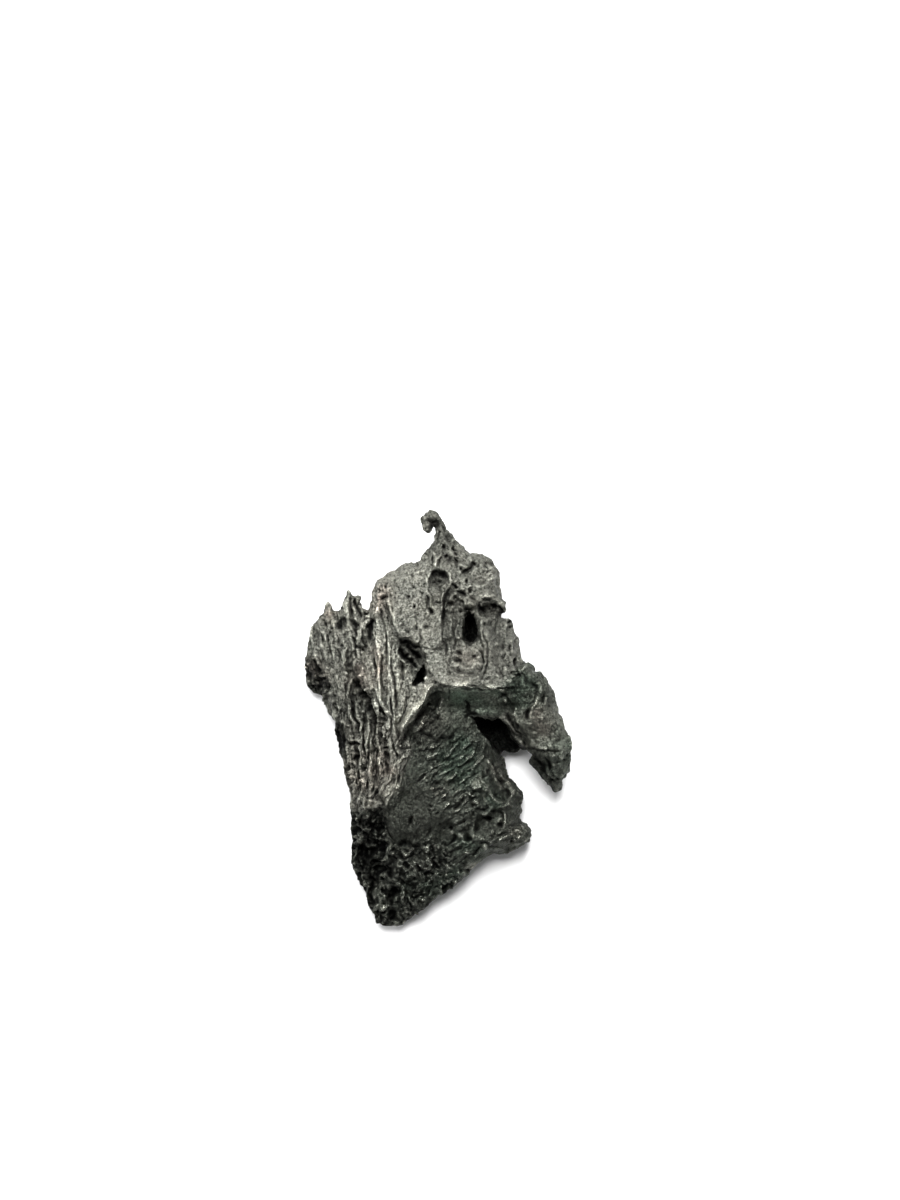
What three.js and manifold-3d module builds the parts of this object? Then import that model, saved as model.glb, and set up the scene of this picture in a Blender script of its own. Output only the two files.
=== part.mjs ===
// An iron meteorite: one torn shard of nickel-iron, lying on its back as it rests on a table.
// Its upper face is fibrous and grooved, with a raised plate on the right. Below the plate an
// arch spans a deep pocket, beside it an arm hooks down, and the lower face is a dark hollow.
//
// Units are millimetres and +Z is up. +Y runs along the shard from its foot to its curled tip.
// The origin is the middle of the shard's box, on the surface that it rests on. The outlines
// and heights below are drawn with X from the left edge and Y from the foot, for a shard that
// is DRAWN_LENGTH long, and the finished solid is scaled to LENGTH.

import * as THREE from "three";
import { ImprovedNoise } from "three/addons/math/ImprovedNoise.js";
import { mergeVertices } from "three/addons/utils/BufferGeometryUtils.js";
import Module from "manifold-3d";

const LENGTH = 60; // foot to curled tip
const DRAWN_LENGTH = 60.3;
const TABLE = 0.35; // height of the table: the bumps of the back are worn flat there
const EDGE_SHARE = 0.16; // how thick the torn edge is, as a share of the metal behind it
const EDGE_ROUND = 3.2; // how far in from the torn edge the metal thins
const CELL = { x: 0.85, y: 1.25 }; // the grid of the upper face, finer across the fibres
const SLIVER = 0.06; // edges shorter than this are closed up

// ---------------------------------------------------------------- the torn outline

const OUTLINE = [
  // right side of the neck, down to the ledge and its knob
  [19.1, 57.0], [20.6, 57.3], [21.4, 56.7], [22.5, 55.2], [24.2, 54.1], [26.1, 53.6],
  [27.2, 53.0], [28.3, 51.2], [28.4, 47.5], [29.1, 46.7], [29.0, 45.7], [28.4, 44.8],
  // right strip, down to the root of the arm
  [30.1, 44.2], [30.4, 42.3], [31.0, 40.9], [31.3, 38.6], [33.0, 37.8], [33.2, 34.2],
  [32.8, 30.6], [32.8, 27.5], [32.2, 25.7],
  // inner side of the gap, down to the lobe
  [28.8, 25.4], [28.3, 25.0], [29.1, 23.8], [29.6, 21.7], [31.0, 20.3], [31.7, 19.3],
  [31.4, 18.3], [31.6, 16.8], [30.7, 15.8], [32.0, 14.9], [32.8, 13.9], [32.5, 12.5],
  [31.2, 11.7], [28.8, 10.6], [27.0, 10.6],
  // lower right edge, down to the foot
  [25.5, 9.6], [23.2, 7.1], [20.7, 5.1], [19.4, 4.6], [18.0, 3.0], [15.5, 1.4],
  [13.6, 0.0], [11.7, 0.1], [10.6, 0.4], [10.3, 1.4],
  // left side, up to the spikes
  [9.3, 3.5], [8.8, 5.7], [7.7, 7.2], [7.0, 9.3], [7.0, 15.4], [6.7, 20.1], [5.8, 24.1],
  [5.2, 25.8], [4.6, 27.8], [4.8, 29.6], [3.2, 31.7], [2.6, 33.2], [0.6, 34.5], [0.0, 37.4],
  [0.0, 41.4], [0.7, 43.8], [1.9, 44.6], [2.9, 45.5], [3.5, 46.8], [4.2, 45.8], [5.4, 45.8],
  [5.9, 47.2], [6.5, 48.6], [7.1, 47.7], [7.8, 47.4], [8.4, 46.1], [9.3, 45.7],
  // the notch, and the top of the plate up to the neck
  [9.7, 47.0], [10.1, 49.0], [10.7, 50.1], [12.2, 50.9], [12.6, 51.2], [13.8, 51.7],
  [14.8, 52.6], [15.9, 52.3], [17.0, 53.0], [18.0, 54.6], [18.9, 56.0],
];

// ---------------------------------------------------------------- heights, as [x, y, z]

const SHELL_SPOTS = [
  // the plate, rising from the tip to the arch
  [19.7, 55.2, 7.4], [15.4, 50.9, 8.2], [25.5, 52.3, 7.8], [19.7, 47.2, 9.8], [15.4, 44.3, 10.4],
  [25.5, 46.2, 9.4], [29.9, 42.9, 8.6], [19.7, 40.0, 12.0], [25.5, 40.0, 11.4], [30.6, 39.3, 10.2],
  [19.7, 35.9, 14.2], [28.4, 35.2, 14.0], [24.1, 35.3, 14.8],
  // the grooved band and the left lobe
  [11.0, 49.4, 7.2], [11.7, 44.3, 8.8], [12.5, 38.6, 10.8], [13.2, 32.8, 12.8], [14.2, 28.7, 13.8],
  [6.7, 46.5, 5.2], [3.0, 45.1, 4.2], [3.8, 41.4, 6.4], [0.6, 41.4, 3.6], [7.4, 40.0, 8.4],
  [5.2, 34.2, 8.4], [8.8, 34.2, 10.2], [3.6, 36.6, 7.6], [0.9, 36.9, 3.0], [2.2, 33.6, 3.2],
  // down the fibres to where they end
  [5.9, 27.0, 8.0], [9.6, 27.0, 11.0], [13.2, 22.6, 12.4], [8.1, 21.2, 9.6], [7.0, 18.3, 7.2],
  [11.7, 18.3, 11.8],
];

const HOLLOW_SPOTS = [
  // under the arch and down the middle
  [21.2, 32.8, 10.3], [16.8, 29.1, 10.8], [25.5, 31.2, 10.0], [19.7, 25.5, 10.4], [24.1, 25.5, 10.6],
  [26.6, 26.2, 9.4], [15.4, 21.2, 11.2], [13.9, 16.8, 10.8], [18.3, 18.3, 10.8], [24.1, 18.3, 10.4],
  // out to the lobe and the foot
  [29.1, 19.7, 8.0], [30.6, 18.3, 6.6], [31.3, 13.6, 7.4], [27.0, 12.5, 8.4], [21.2, 11.0, 9.0],
  [13.9, 9.6, 8.4], [9.6, 13.9, 8.2], [7.4, 12.5, 5.6], [8.8, 6.7, 6.0], [11.7, 2.3, 5.4],
  [16.8, 3.8, 6.0], [22.6, 8.1, 6.4], [13.2, 0.6, 4.2],
];

const BACK_SPOTS = [
  // three bumps that it stands on, then the parts that curl clear of the table
  [6.7, 37.0, 0.3], [25.6, 41.0, -0.1], [12.5, 11.0, 0.2], [28.4, 14.4, 0.0], [19.7, 32.8, 0.6],
  [18.3, 21.2, 0.9], [19.7, 53.0, 3.6], [12.0, 47.0, 2.0], [1.2, 41.4, 1.7], [30.6, 42.5, 2.6],
  [13.2, 0.9, 1.8], [31.8, 31.0, 2.0], [21.0, 7.0, 1.6],
];

// ---------------------------------------------------------------- zones and lines of the face

// The hollow's edge runs along the arch's rim and down its left lip, then round the fibres' end.
const HOLLOW = [
  [44.0, 34.1], [31.3, 34.1], [28.4, 34.6], [24.1, 35.1], [21.4, 34.9], [18.6, 34.9], [17.4, 33.2],
  [15.8, 30.6], [14.2, 28.3], [13.8, 26.7], [14.3, 25.2], [13.6, 23.5], [13.3, 21.7], [13.9, 20.3],
  [12.5, 18.4], [11.6, 17.4], [9.9, 17.6], [8.4, 17.1], [7.8, 15.9], [5.0, 15.3], [5.0, -4.0],
  [44.0, -4.0],
];

// The raised plate. Its left edge stands above the grooved band, with a bay at the crevice.
const PLATE = [
  [12.3, 51.6], [12.2, 47.2], [12.5, 44.9], [12.9, 43.3], [14.0, 41.9], [15.4, 42.0], [16.8, 41.0],
  [17.6, 39.4], [18.2, 37.4], [18.6, 35.9], [20.4, 35.1], [24.1, 35.3], [28.4, 34.8], [36.0, 35.8],
  [36.0, 62.0], [12.3, 62.0],
];

// A second layer on the plate's upper right, ending in a ledge above a recess.
const LEDGE = [
  [22.0, 62.0], [22.4, 52.0], [22.6, 49.8], [23.6, 48.4], [24.6, 47.4], [26.4, 47.5], [27.8, 47.0],
  [29.3, 45.6], [36.0, 47.4], [36.0, 62.0],
];

// The long basin below the ledge, with the hole in its middle.
const BASIN = [
  [20.7, 47.2], [22.0, 47.5], [23.5, 46.7], [25.4, 45.2], [26.0, 41.4], [26.4, 38.6], [25.7, 36.7],
  [24.1, 36.0], [22.0, 36.3], [21.0, 38.3], [20.4, 41.4],
];

// Openings with broken walls, each cut down to its floor.
const HOLE = {
  floor: 4.6,
  mouth: [
    [23.4, 45.4], [24.3, 45.5], [24.9, 44.4], [25.3, 43.0], [25.3, 41.8], [24.7, 41.0], [23.9, 40.8],
    [23.1, 41.4], [22.9, 42.6], [23.0, 44.0],
  ],
};
const CREVICE = {
  floor: 7.0,
  mouth: [[15.7, 34.9], [17.8, 35.3], [17.9, 37.0], [17.4, 38.3], [16.5, 37.2]],
};
const POCKET = {
  floor: 4.2,
  mouth: [
    [23.0, 31.4], [24.6, 30.5], [28.0, 30.3], [29.4, 29.2], [30.2, 27.4], [31.4, 26.0], [33.4, 25.2],
    [33.4, 23.0], [28.9, 23.0], [28.1, 25.2], [27.0, 26.7], [25.5, 28.1], [25.1, 29.6],
  ],
};

// Furrows (deeper than the face) and welts (prouder than it): path, half width, height.
const LINES = [
  { path: [[7.0, 36.4], [8.0, 33.4], [9.2, 31.0], [10.2, 29.2]], half: 1.1, rise: -2.4 },
  { path: [[10.4, 44.6], [9.8, 41.6], [9.3, 39.8]], half: 0.9, rise: -2.0 },
  { path: [[10.6, 29.6], [10.9, 26.0], [11.1, 22.5]], half: 0.8, rise: -1.2 },
  { path: [[6.6, 30.0], [7.6, 26.0], [8.2, 22.0]], half: 0.8, rise: -1.2 },
  { path: [[8.6, 38.0], [9.9, 34.2], [10.7, 31.6]], half: 0.9, rise: 1.0 },
  { path: [[11.9, 49.8], [12.1, 46.4], [12.2, 41.0], [12.8, 35.0]], half: 0.8, rise: 0.8 },
  { path: [[3.8, 33.6], [4.8, 30.4], [6.4, 28.4]], half: 0.8, rise: 0.7 },
  { path: [[20.0, 34.6], [18.0, 34.0], [16.6, 31.6], [14.6, 28.6]], half: 0.9, rise: 0.8 },
  { path: [[26.2, 23.0], [27.0, 20.0], [26.8, 17.0]], half: 0.9, rise: 0.7 },
  { path: [[29.4, 15.2], [29.0, 17.4], [27.6, 18.2]], half: 0.7, rise: 0.7 },
  { path: [[25.0, 12.6], [28.0, 13.2], [31.2, 14.2]], half: 1.3, rise: 1.2 },
  { path: [[9.4, 3.6], [10.6, 8.0], [10.8, 13.4]], half: 1.1, rise: -1.2 },
];

// The same on the plate: the oval pit's channel and its ridge, the folds round the basin, the
// crevice's lip, and the arch's rim.
const PLATE_LINES = [
  { path: [[18.9, 48.8], [18.6, 46.4], [18.9, 44.6]], half: 0.8, rise: -1.2 },
  { path: [[21.0, 49.6], [20.4, 46.8], [19.9, 43.6], [19.8, 41.2]], half: 0.7, rise: 1.0 },
  { path: [[26.4, 44.6], [26.6, 41.0], [26.4, 38.0], [25.0, 36.4]], half: 0.7, rise: 0.9 },
  { path: [[28.2, 43.6], [28.8, 40.6], [28.8, 38.2]], half: 0.9, rise: -1.2 },
  { path: [[22.4, 52.8], [24.2, 51.6], [25.4, 50.4]], half: 0.9, rise: -1.2 },
  { path: [[14.2, 42.0], [15.4, 42.2], [16.6, 41.4]], half: 0.6, rise: 0.6 },
  { path: [[19.0, 35.9], [22.0, 35.6], [26.0, 35.6], [29.0, 35.2]], half: 0.7, rise: 0.5 },
];

// Fibres fan out from a point at the foot: grooves for each unit of slope across them.
const FAN = { x: 10.2, y: 0, grooves: 15, rise: 0.6 };

// Round hollows: middle, half sizes, turn about Z in degrees.
const PITS = [
  { at: [19.4, 50.1, 10.6], half: [1.5, 1.5, 1.5], turn: 0 }, // the oval pit
  { at: [27.0, 45.5, 10.4], half: [1.9, 1.3, 1.6], turn: -14 }, // the recess under the ledge
  { at: [16.2, 39.3, 12.9], half: [1.9, 1.3, 1.9], turn: -48 }, // the crevice's wide part
  { at: [5.8, 43.7, 7.4], half: [1.0, 1.4, 1.6], turn: 0 },
  { at: [4.4, 32.8, 9.0], half: [0.8, 1.3, 1.6], turn: 15 },
  { at: [27.4, 15.8, 10.2], half: [1.5, 1.4, 1.6], turn: 0 }, // the ring pit by the lobe
  { at: [30.5, 36.4, 12.8], half: [0.7, 0.9, 1.4], turn: 30 }, // the hole at the arm's root
  { at: [11.4, 9.6, 8.9], half: [2.6, 1.4, 1.7], turn: 12 }, // the eaten lower left corner
  { at: [9.8, 14.2, 8.8], half: [1.3, 0.9, 1.2], turn: 40 },
  { at: [8.2, 11.2, 7.2], half: [0.9, 1.4, 1.2], turn: -10 },
  { at: [9.9, 5.6, 6.8], half: [1.1, 1.5, 1.2], turn: 15 },
  { at: [15.2, 7.6, 8.6], half: [1.2, 0.8, 1.1], turn: 35 },
  { at: [13.6, 2.6, 6.4], half: [1.3, 1.6, 1.4], turn: 30 },
  { at: [4.6, 27.6, 6.0], half: [1.3, 2.0, 2.2], turn: 8 }, // the notch in the left side
  { at: [26.4, 29.8, 5.6], half: [3.6, 3.4, 2.6], turn: -30 }, // the pocket's cave under the arch
  { at: [20.6, 6.2, 1.2], half: [3.4, 2.4, 1.7], turn: 30 }, // hollows of the back
  { at: [17.8, 46.0, 0.4], half: [3.6, 2.6, 1.6], turn: -20 },
  { at: [14.5, 27.0, -0.6], half: [3.6, 4.6, 2.0], turn: 10 },
];

// Lumps proud of the face.
const LUMPS = [
  { at: [31.0, 13.6, 6.6], half: [1.9, 1.3, 1.6], turn: 8 }, // the lobe on the right edge
  { at: [24.2, 46.8, 10.0], half: [1.2, 0.9, 1.0], turn: 0 }, // a bead at the head of the basin
  { at: [29.8, 27.9, 2.9], half: [3.4, 2.7, 1.3], turn: -4 }, // the pocket's floor
  { at: [10.2, 18.9, 9.2], half: [2.4, 1.1, 1.5], turn: 12 }, // the fibres' swollen ends
];

// ---------------------------------------------------------------- height functions

const { clamp, lerp, smoothstep } = THREE.MathUtils;
const noise = new ImprovedNoise();

// Distance from (x, y) to the line of points, closed back to its start if asked.
function distanceTo(points, x, y, closed) {
  const last = closed ? points.length : points.length - 1;
  let nearest = Infinity;
  for (let i = 0; i < last; i++) {
    const [ax, ay] = points[i];
    const [bx, by] = points[(i + 1) % points.length];
    const along = ((x - ax) * (bx - ax) + (y - ay) * (by - ay)) / ((bx - ax) ** 2 + (by - ay) ** 2);
    const t = clamp(along, 0, 1);
    nearest = Math.min(nearest, Math.hypot(x - lerp(ax, bx, t), y - lerp(ay, by, t)));
  }
  return nearest;
}

// How far inside a closed outline (x, y) lies, negative outside it.
function depthIn(outline, x, y) {
  let inside = false;
  for (let i = 0, j = outline.length - 1; i < outline.length; j = i++) {
    const [ax, ay] = outline[i];
    const [bx, by] = outline[j];
    if (ay > y !== by > y && x < ((bx - ax) * (y - ay)) / (by - ay) + ax) inside = !inside;
  }
  return distanceTo(outline, x, y, true) * (inside ? 1 : -1);
}

// The height at (x, y) among spot heights, where the nearest spots count most.
function surveyed(spots, x, y) {
  const reach = 2.6;
  let sum = 0;
  let weights = 0;
  for (const [sx, sy, sz] of spots) {
    const weight = ((x - sx) ** 2 + (y - sy) ** 2 + reach ** 2) ** -2.2;
    sum += weight * sz;
    weights += weight;
  }
  return sum / weights;
}

function lined(lines, x, y) {
  return lines.reduce((sum, { path, half, rise }) => {
    return sum + rise * Math.exp(-((distanceTo(path, x, y, false) / half) ** 2));
  }, 0);
}

// Bumps of about the given size, between -1 and 1.
function bumps(x, y, size, seed) {
  return noise.noise(x / size + seed, y / size - seed, seed * 1.7);
}

function fibres(x, y) {
  const across = (x - FAN.x) / Math.max(y - FAN.y, 6);
  const wander = 0.4 * bumps(x, y, 7, 3.1);
  const strength = 0.8 + 0.6 * bumps(x, y, 4, 8.4);
  return strength * Math.sin((across * FAN.grooves + wander) * Math.PI * 2);
}

// The upper face before it thins towards the torn edge, without the plate.
function face(x, y) {
  const under = depthIn(HOLLOW, x, y);
  const archWidth = smoothstep(x, 16, 21) * smoothstep(y, 24, 29);
  const sunk = smoothstep(under, 0, lerp(1.1, 3.6, archWidth));
  const fibrous = (1 - sunk) * smoothstep(15.5 - x, 0, 2.5);
  let z = lerp(surveyed(SHELL_SPOTS, x, y), surveyed(HOLLOW_SPOTS, x, y), sunk);
  z += fibrous * FAN.rise * fibres(x, y);
  z += sunk * (0.55 * bumps(x, y, 2.6, 5.3) + 0.35 * bumps(x, y, 1.4, 1.9));
  z += 0.3 * bumps(x, y, 3.1, 2.7);
  return z + lined(LINES, x, y);
}

function back(x, y) {
  return surveyed(BACK_SPOTS, x, y) + 0.8 * bumps(x, y, 5.0, 4.4) + 0.4 * bumps(x, y, 2.3, 7.7);
}

// The metal thins to EDGE_SHARE of its depth at the torn edge, about a level below its middle.
function thinned(x, y, z) {
  const inwards = clamp(depthIn(OUTLINE, x, y) / EDGE_ROUND, 0, 1);
  const share = lerp(EDGE_SHARE, 1, Math.sqrt(1 - (1 - inwards) ** 2));
  return lerp(lerp(back(x, y), face(x, y), 0.42), z, share);
}

const upper = (x, y) => thinned(x, y, face(x, y));
const lower = (x, y) => thinned(x, y, back(x, y));

// How far the plate and its second layer stand above the face.
function plateTop(x, y) {
  const basin = smoothstep(depthIn(BASIN, x, y), -0.4, 0.9);
  const layer = smoothstep(depthIn(LEDGE, x, y), -0.6, 1.0);
  const rough = 0.25 * bumps(x, y, 2.2, 6.1);
  return thinned(x, y, face(x, y) + 1.3 + 0.7 * layer - 1.2 * basin + rough + lined(PLATE_LINES, x, y));
}

// ---------------------------------------------------------------- solids

const wasm = await Module();
wasm.setup();

// A primitive with its shared vertices merged, ready for them to be moved.
function welded(geometry) {
  return mergeVertices(geometry.deleteAttribute("normal").deleteAttribute("uv"), 1e-4);
}

function solid(geometry) {
  return new wasm.Manifold(
    new wasm.Mesh({
      numProp: 3,
      vertProperties: new Float32Array(geometry.attributes.position.array),
      triVerts: new Uint32Array(geometry.index.array),
    }),
  );
}

// An upright prism of a closed outline.
function prism(outline, from, to) {
  const shape = new THREE.Shape(outline.map(([x, y]) => new THREE.Vector2(x, y)));
  const geometry = new THREE.ExtrudeGeometry(shape, { depth: to - from, bevelEnabled: false });
  return solid(welded(geometry).translate(0, 0, from));
}

// A block of metal round an outline, between two height functions.
function sheet(outline, top, bottom) {
  const box = new THREE.Box2();
  for (const [x, y] of outline) box.expandByPoint(new THREE.Vector2(x, y));
  const size = box.getSize(new THREE.Vector2()).addScalar(2);
  const middle = box.getCenter(new THREE.Vector2());
  const [columns, rows] = [Math.round(size.x / CELL.x), Math.round(size.y / CELL.y)];
  const block = welded(new THREE.BoxGeometry(size.x, size.y, 2, columns, rows, 1));
  const p = block.attributes.position;
  for (let i = 0; i < p.count; i++) {
    const x = p.getX(i) + middle.x;
    const y = p.getY(i) + middle.y;
    p.setXYZ(i, x, y, p.getZ(i) > 0 ? top(x, y) : bottom(x, y));
  }
  return solid(block);
}

// A bent, tapering arm along points of [x, y, z, radius], flattened by the given share.
function arm(points, { sides = 12, steps = 16, flat = 1, rough = 0 } = {}) {
  const curve = new THREE.CatmullRomCurve3(points.map(([x, y, z]) => new THREE.Vector3(x, y, z)));
  const tube = welded(new THREE.CylinderGeometry(1, 1, 1, sides, steps));
  const p = tube.attributes.position;
  const up = new THREE.Vector3(0, 0, 1);
  for (let i = 0; i < p.count; i++) {
    const t = 0.5 + p.getY(i);
    const place = t * (points.length - 1);
    const before = Math.min(Math.floor(place), points.length - 2);
    const ahead = curve.getTangent(t);
    const side = new THREE.Vector3().crossVectors(ahead, up).normalize();
    const over = new THREE.Vector3().crossVectors(side, ahead);
    const at = curve.getPoint(t);
    const swell = 1 + rough * noise.noise(at.x * 0.4 + p.getX(i), at.y * 0.4, p.getZ(i) + 3.3);
    const radius = swell * lerp(points[before][3], points[before + 1][3], place - before);
    at.addScaledVector(side, p.getX(i) * radius).addScaledVector(over, p.getZ(i) * radius * flat);
    p.setXYZ(i, at.x, at.y, at.z);
  }
  return solid(tube);
}

// A round lump or pit with its half sizes and a turn about Z in degrees.
function lump({ at, half, turn }) {
  const ball = welded(new THREE.SphereGeometry(1, 10, 7)).rotateX(Math.PI / 2);
  return solid(ball.scale(...half).rotateZ(THREE.MathUtils.degToRad(turn)).translate(...at));
}

// ---------------------------------------------------------------- the shard

const insidePlate = (x, y) => upper(x, y) - 0.8;
const plate = sheet(PLATE, plateTop, insidePlate).intersect(prism(PLATE, -20, 40));
const body = sheet(OUTLINE, upper, lower).add(plate).intersect(prism(OUTLINE, -20, 40));

// The arm leaves the arch's right end, bends down beside the gap and ends in a blunt point.
const hook = arm(
  [
    [29.8, 36.4, 11.0, 2.0], [32.2, 34.6, 10.8, 3.0], [33.7, 30.8, 9.8, 3.0], [35.3, 26.4, 8.2, 3.1],
    [36.4, 23.0, 6.4, 2.3], [36.5, 19.9, 4.8, 0.7],
  ],
  { sides: 14, steps: 18, flat: 0.95, rough: 0.35 },
);

// The ledge's lip overhangs its recess and ends in a knob at the right edge.
const lip = arm(
  [[24.6, 46.5, 10.4, 0.5], [26.2, 47.3, 11.0, 0.7], [27.8, 46.9, 10.2, 0.8], [28.9, 45.9, 8.6, 0.9]],
  { sides: 8, steps: 7, rough: 0.3 },
);

// The tip narrows to a neck and curls over to the left in a small knob.
const curl = arm(
  [
    [20.2, 54.0, 6.6, 2.2], [20.0, 56.0, 6.6, 1.1], [19.7, 57.8, 6.8, 0.8], [18.9, 59.1, 7.0, 1.1],
    [18.1, 59.0, 7.0, 1.2], [17.8, 58.0, 6.8, 0.8],
  ],
  { sides: 9, steps: 14, rough: 0.2 },
);

const metal = [body, hook, lip, curl, ...LUMPS.map(lump)];
const belowTable = prism([[-9, -9], [60, -9], [60, 70], [-9, 70]], -20, TABLE);
const openings = [HOLE, CREVICE, POCKET].map(({ mouth, floor }) => prism(mouth, floor, 30));
const cuts = [...openings, ...PITS.map(lump), belowTable];

const joined = metal.reduce((whole, piece) => whole.add(piece));
const shard = cuts.reduce((whole, cut) => whole.subtract(cut), joined);

// ---------------------------------------------------------------- placing it

// Cuts leave slivers where surfaces cross. Each edge shorter than SLIVER is drawn together to
// one point, unless that would pinch the surface.
function withoutSlivers(points, triangles) {
  const around = points.map(() => new Set());
  triangles.forEach((corners, t) => corners.forEach((v) => around[v].add(t)));
  const near = (v) => new Set([...around[v]].flatMap((t) => triangles[t]));
  const isSliver = (a, b) => {
    if (points[a].distanceTo(points[b]) > SLIVER) return false;
    const nearB = near(b);
    return [...near(a)].filter((v) => nearB.has(v)).length === 4;
  };
  const drawTogether = (a, b) => {
    for (const t of [...around[b]]) {
      if (triangles[t].includes(a)) {
        for (const v of triangles[t]) around[v].delete(t);
        triangles[t] = [];
      } else {
        triangles[t] = triangles[t].map((v) => (v === b ? a : v));
        around[a].add(t);
      }
    }
    around[b].clear();
  };
  for (let t = 0; t < triangles.length; t++) {
    const [a, b, c] = triangles[t];
    const edge = [[a, b], [b, c], [c, a]].find(([v, w]) => v !== undefined && isSliver(v, w));
    if (edge) drawTogether(...edge);
  }
  return triangles.filter((corners) => corners.length);
}

// The finished surface at its real size, on its origin.
function meshOf(piece) {
  const { vertProperties, triVerts } = piece.getMesh();
  const scale = LENGTH / DRAWN_LENGTH;
  const points = [];
  for (let i = 0; i < vertProperties.length; i += 3) {
    points.push(new THREE.Vector3().fromArray(vertProperties, i).multiplyScalar(scale));
  }
  const triangles = [];
  for (let i = 0; i < triVerts.length; i += 3) triangles.push([...triVerts.slice(i, i + 3)]);
  const corners = withoutSlivers(points, triangles).flat();
  const geometry = new THREE.BufferGeometry().setFromPoints(corners.map((v) => points[v]));
  geometry.computeBoundingBox();
  const { min, max } = geometry.boundingBox;
  geometry.translate(-(min.x + max.x) / 2, -(min.y + max.y) / 2, -min.z);
  geometry.computeVertexNormals();
  return geometry;
}

const iron = new THREE.MeshStandardMaterial({ color: 0x4a4a46, roughness: 0.5, metalness: 0.85 });
const meteorite = new THREE.Mesh(meshOf(shard), iron);
meteorite.name = "meteorite";

const part = new THREE.Group();
part.add(meteorite);
export default part;
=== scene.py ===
"""A torn shard of nickel-iron meteorite, carved from its solid and set on a plain studio floor."""

import math

import bpy
import numpy as np
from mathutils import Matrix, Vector, noise


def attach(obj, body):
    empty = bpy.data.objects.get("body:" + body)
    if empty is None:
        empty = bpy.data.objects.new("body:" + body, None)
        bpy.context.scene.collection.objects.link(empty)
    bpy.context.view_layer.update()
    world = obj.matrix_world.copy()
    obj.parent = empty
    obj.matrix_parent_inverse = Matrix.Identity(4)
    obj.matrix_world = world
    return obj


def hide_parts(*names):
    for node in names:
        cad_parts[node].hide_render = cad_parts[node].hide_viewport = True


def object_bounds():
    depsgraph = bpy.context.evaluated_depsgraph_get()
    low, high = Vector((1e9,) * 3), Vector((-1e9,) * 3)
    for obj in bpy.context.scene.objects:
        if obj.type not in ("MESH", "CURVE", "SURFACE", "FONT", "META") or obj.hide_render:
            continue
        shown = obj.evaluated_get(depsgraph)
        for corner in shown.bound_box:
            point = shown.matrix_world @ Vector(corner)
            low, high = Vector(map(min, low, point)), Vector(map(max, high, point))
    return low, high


bl_info = {
    "name": "Iron Meteorite",
    "version": (1, 0, 0),
    "blender": (4, 5, 0),
    "location": "3D View > Sidebar > Meteorite",
    "description": "Carves and finishes a shard of meteoritic iron and sets up a plain studio",
    "category": "Object",
}

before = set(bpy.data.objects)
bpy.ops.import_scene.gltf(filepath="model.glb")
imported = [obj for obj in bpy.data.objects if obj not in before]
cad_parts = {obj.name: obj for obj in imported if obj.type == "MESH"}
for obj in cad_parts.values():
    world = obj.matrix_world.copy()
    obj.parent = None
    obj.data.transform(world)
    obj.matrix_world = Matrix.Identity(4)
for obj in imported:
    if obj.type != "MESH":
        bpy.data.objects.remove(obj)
SOLID_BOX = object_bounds()
SOLID = "meteorite"
MM = 0.001

# ------------------------ the drawing
# Every line, pit and zone is drawn on one sheet, in millimetres: x runs right from the
# shard's left edge and y runs up from its foot. Real millimetres are the sheet's times
# SHEET_SCALE, from SHEET_ORIGIN.

SHEET_SCALE = 0.995
SHEET_ORIGIN = (-19.25, -30.03)
CELL = 0.07
SHEET_X = np.arange(-1.0, 40.5, CELL)
SHEET_Y = np.arange(-1.5, 62.0, CELL)
PLAN_X, PLAN_Y = np.meshgrid(SHEET_X, SHEET_Y)

# Lines of the surface: (width, height, points). A height below zero is a groove.

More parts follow.
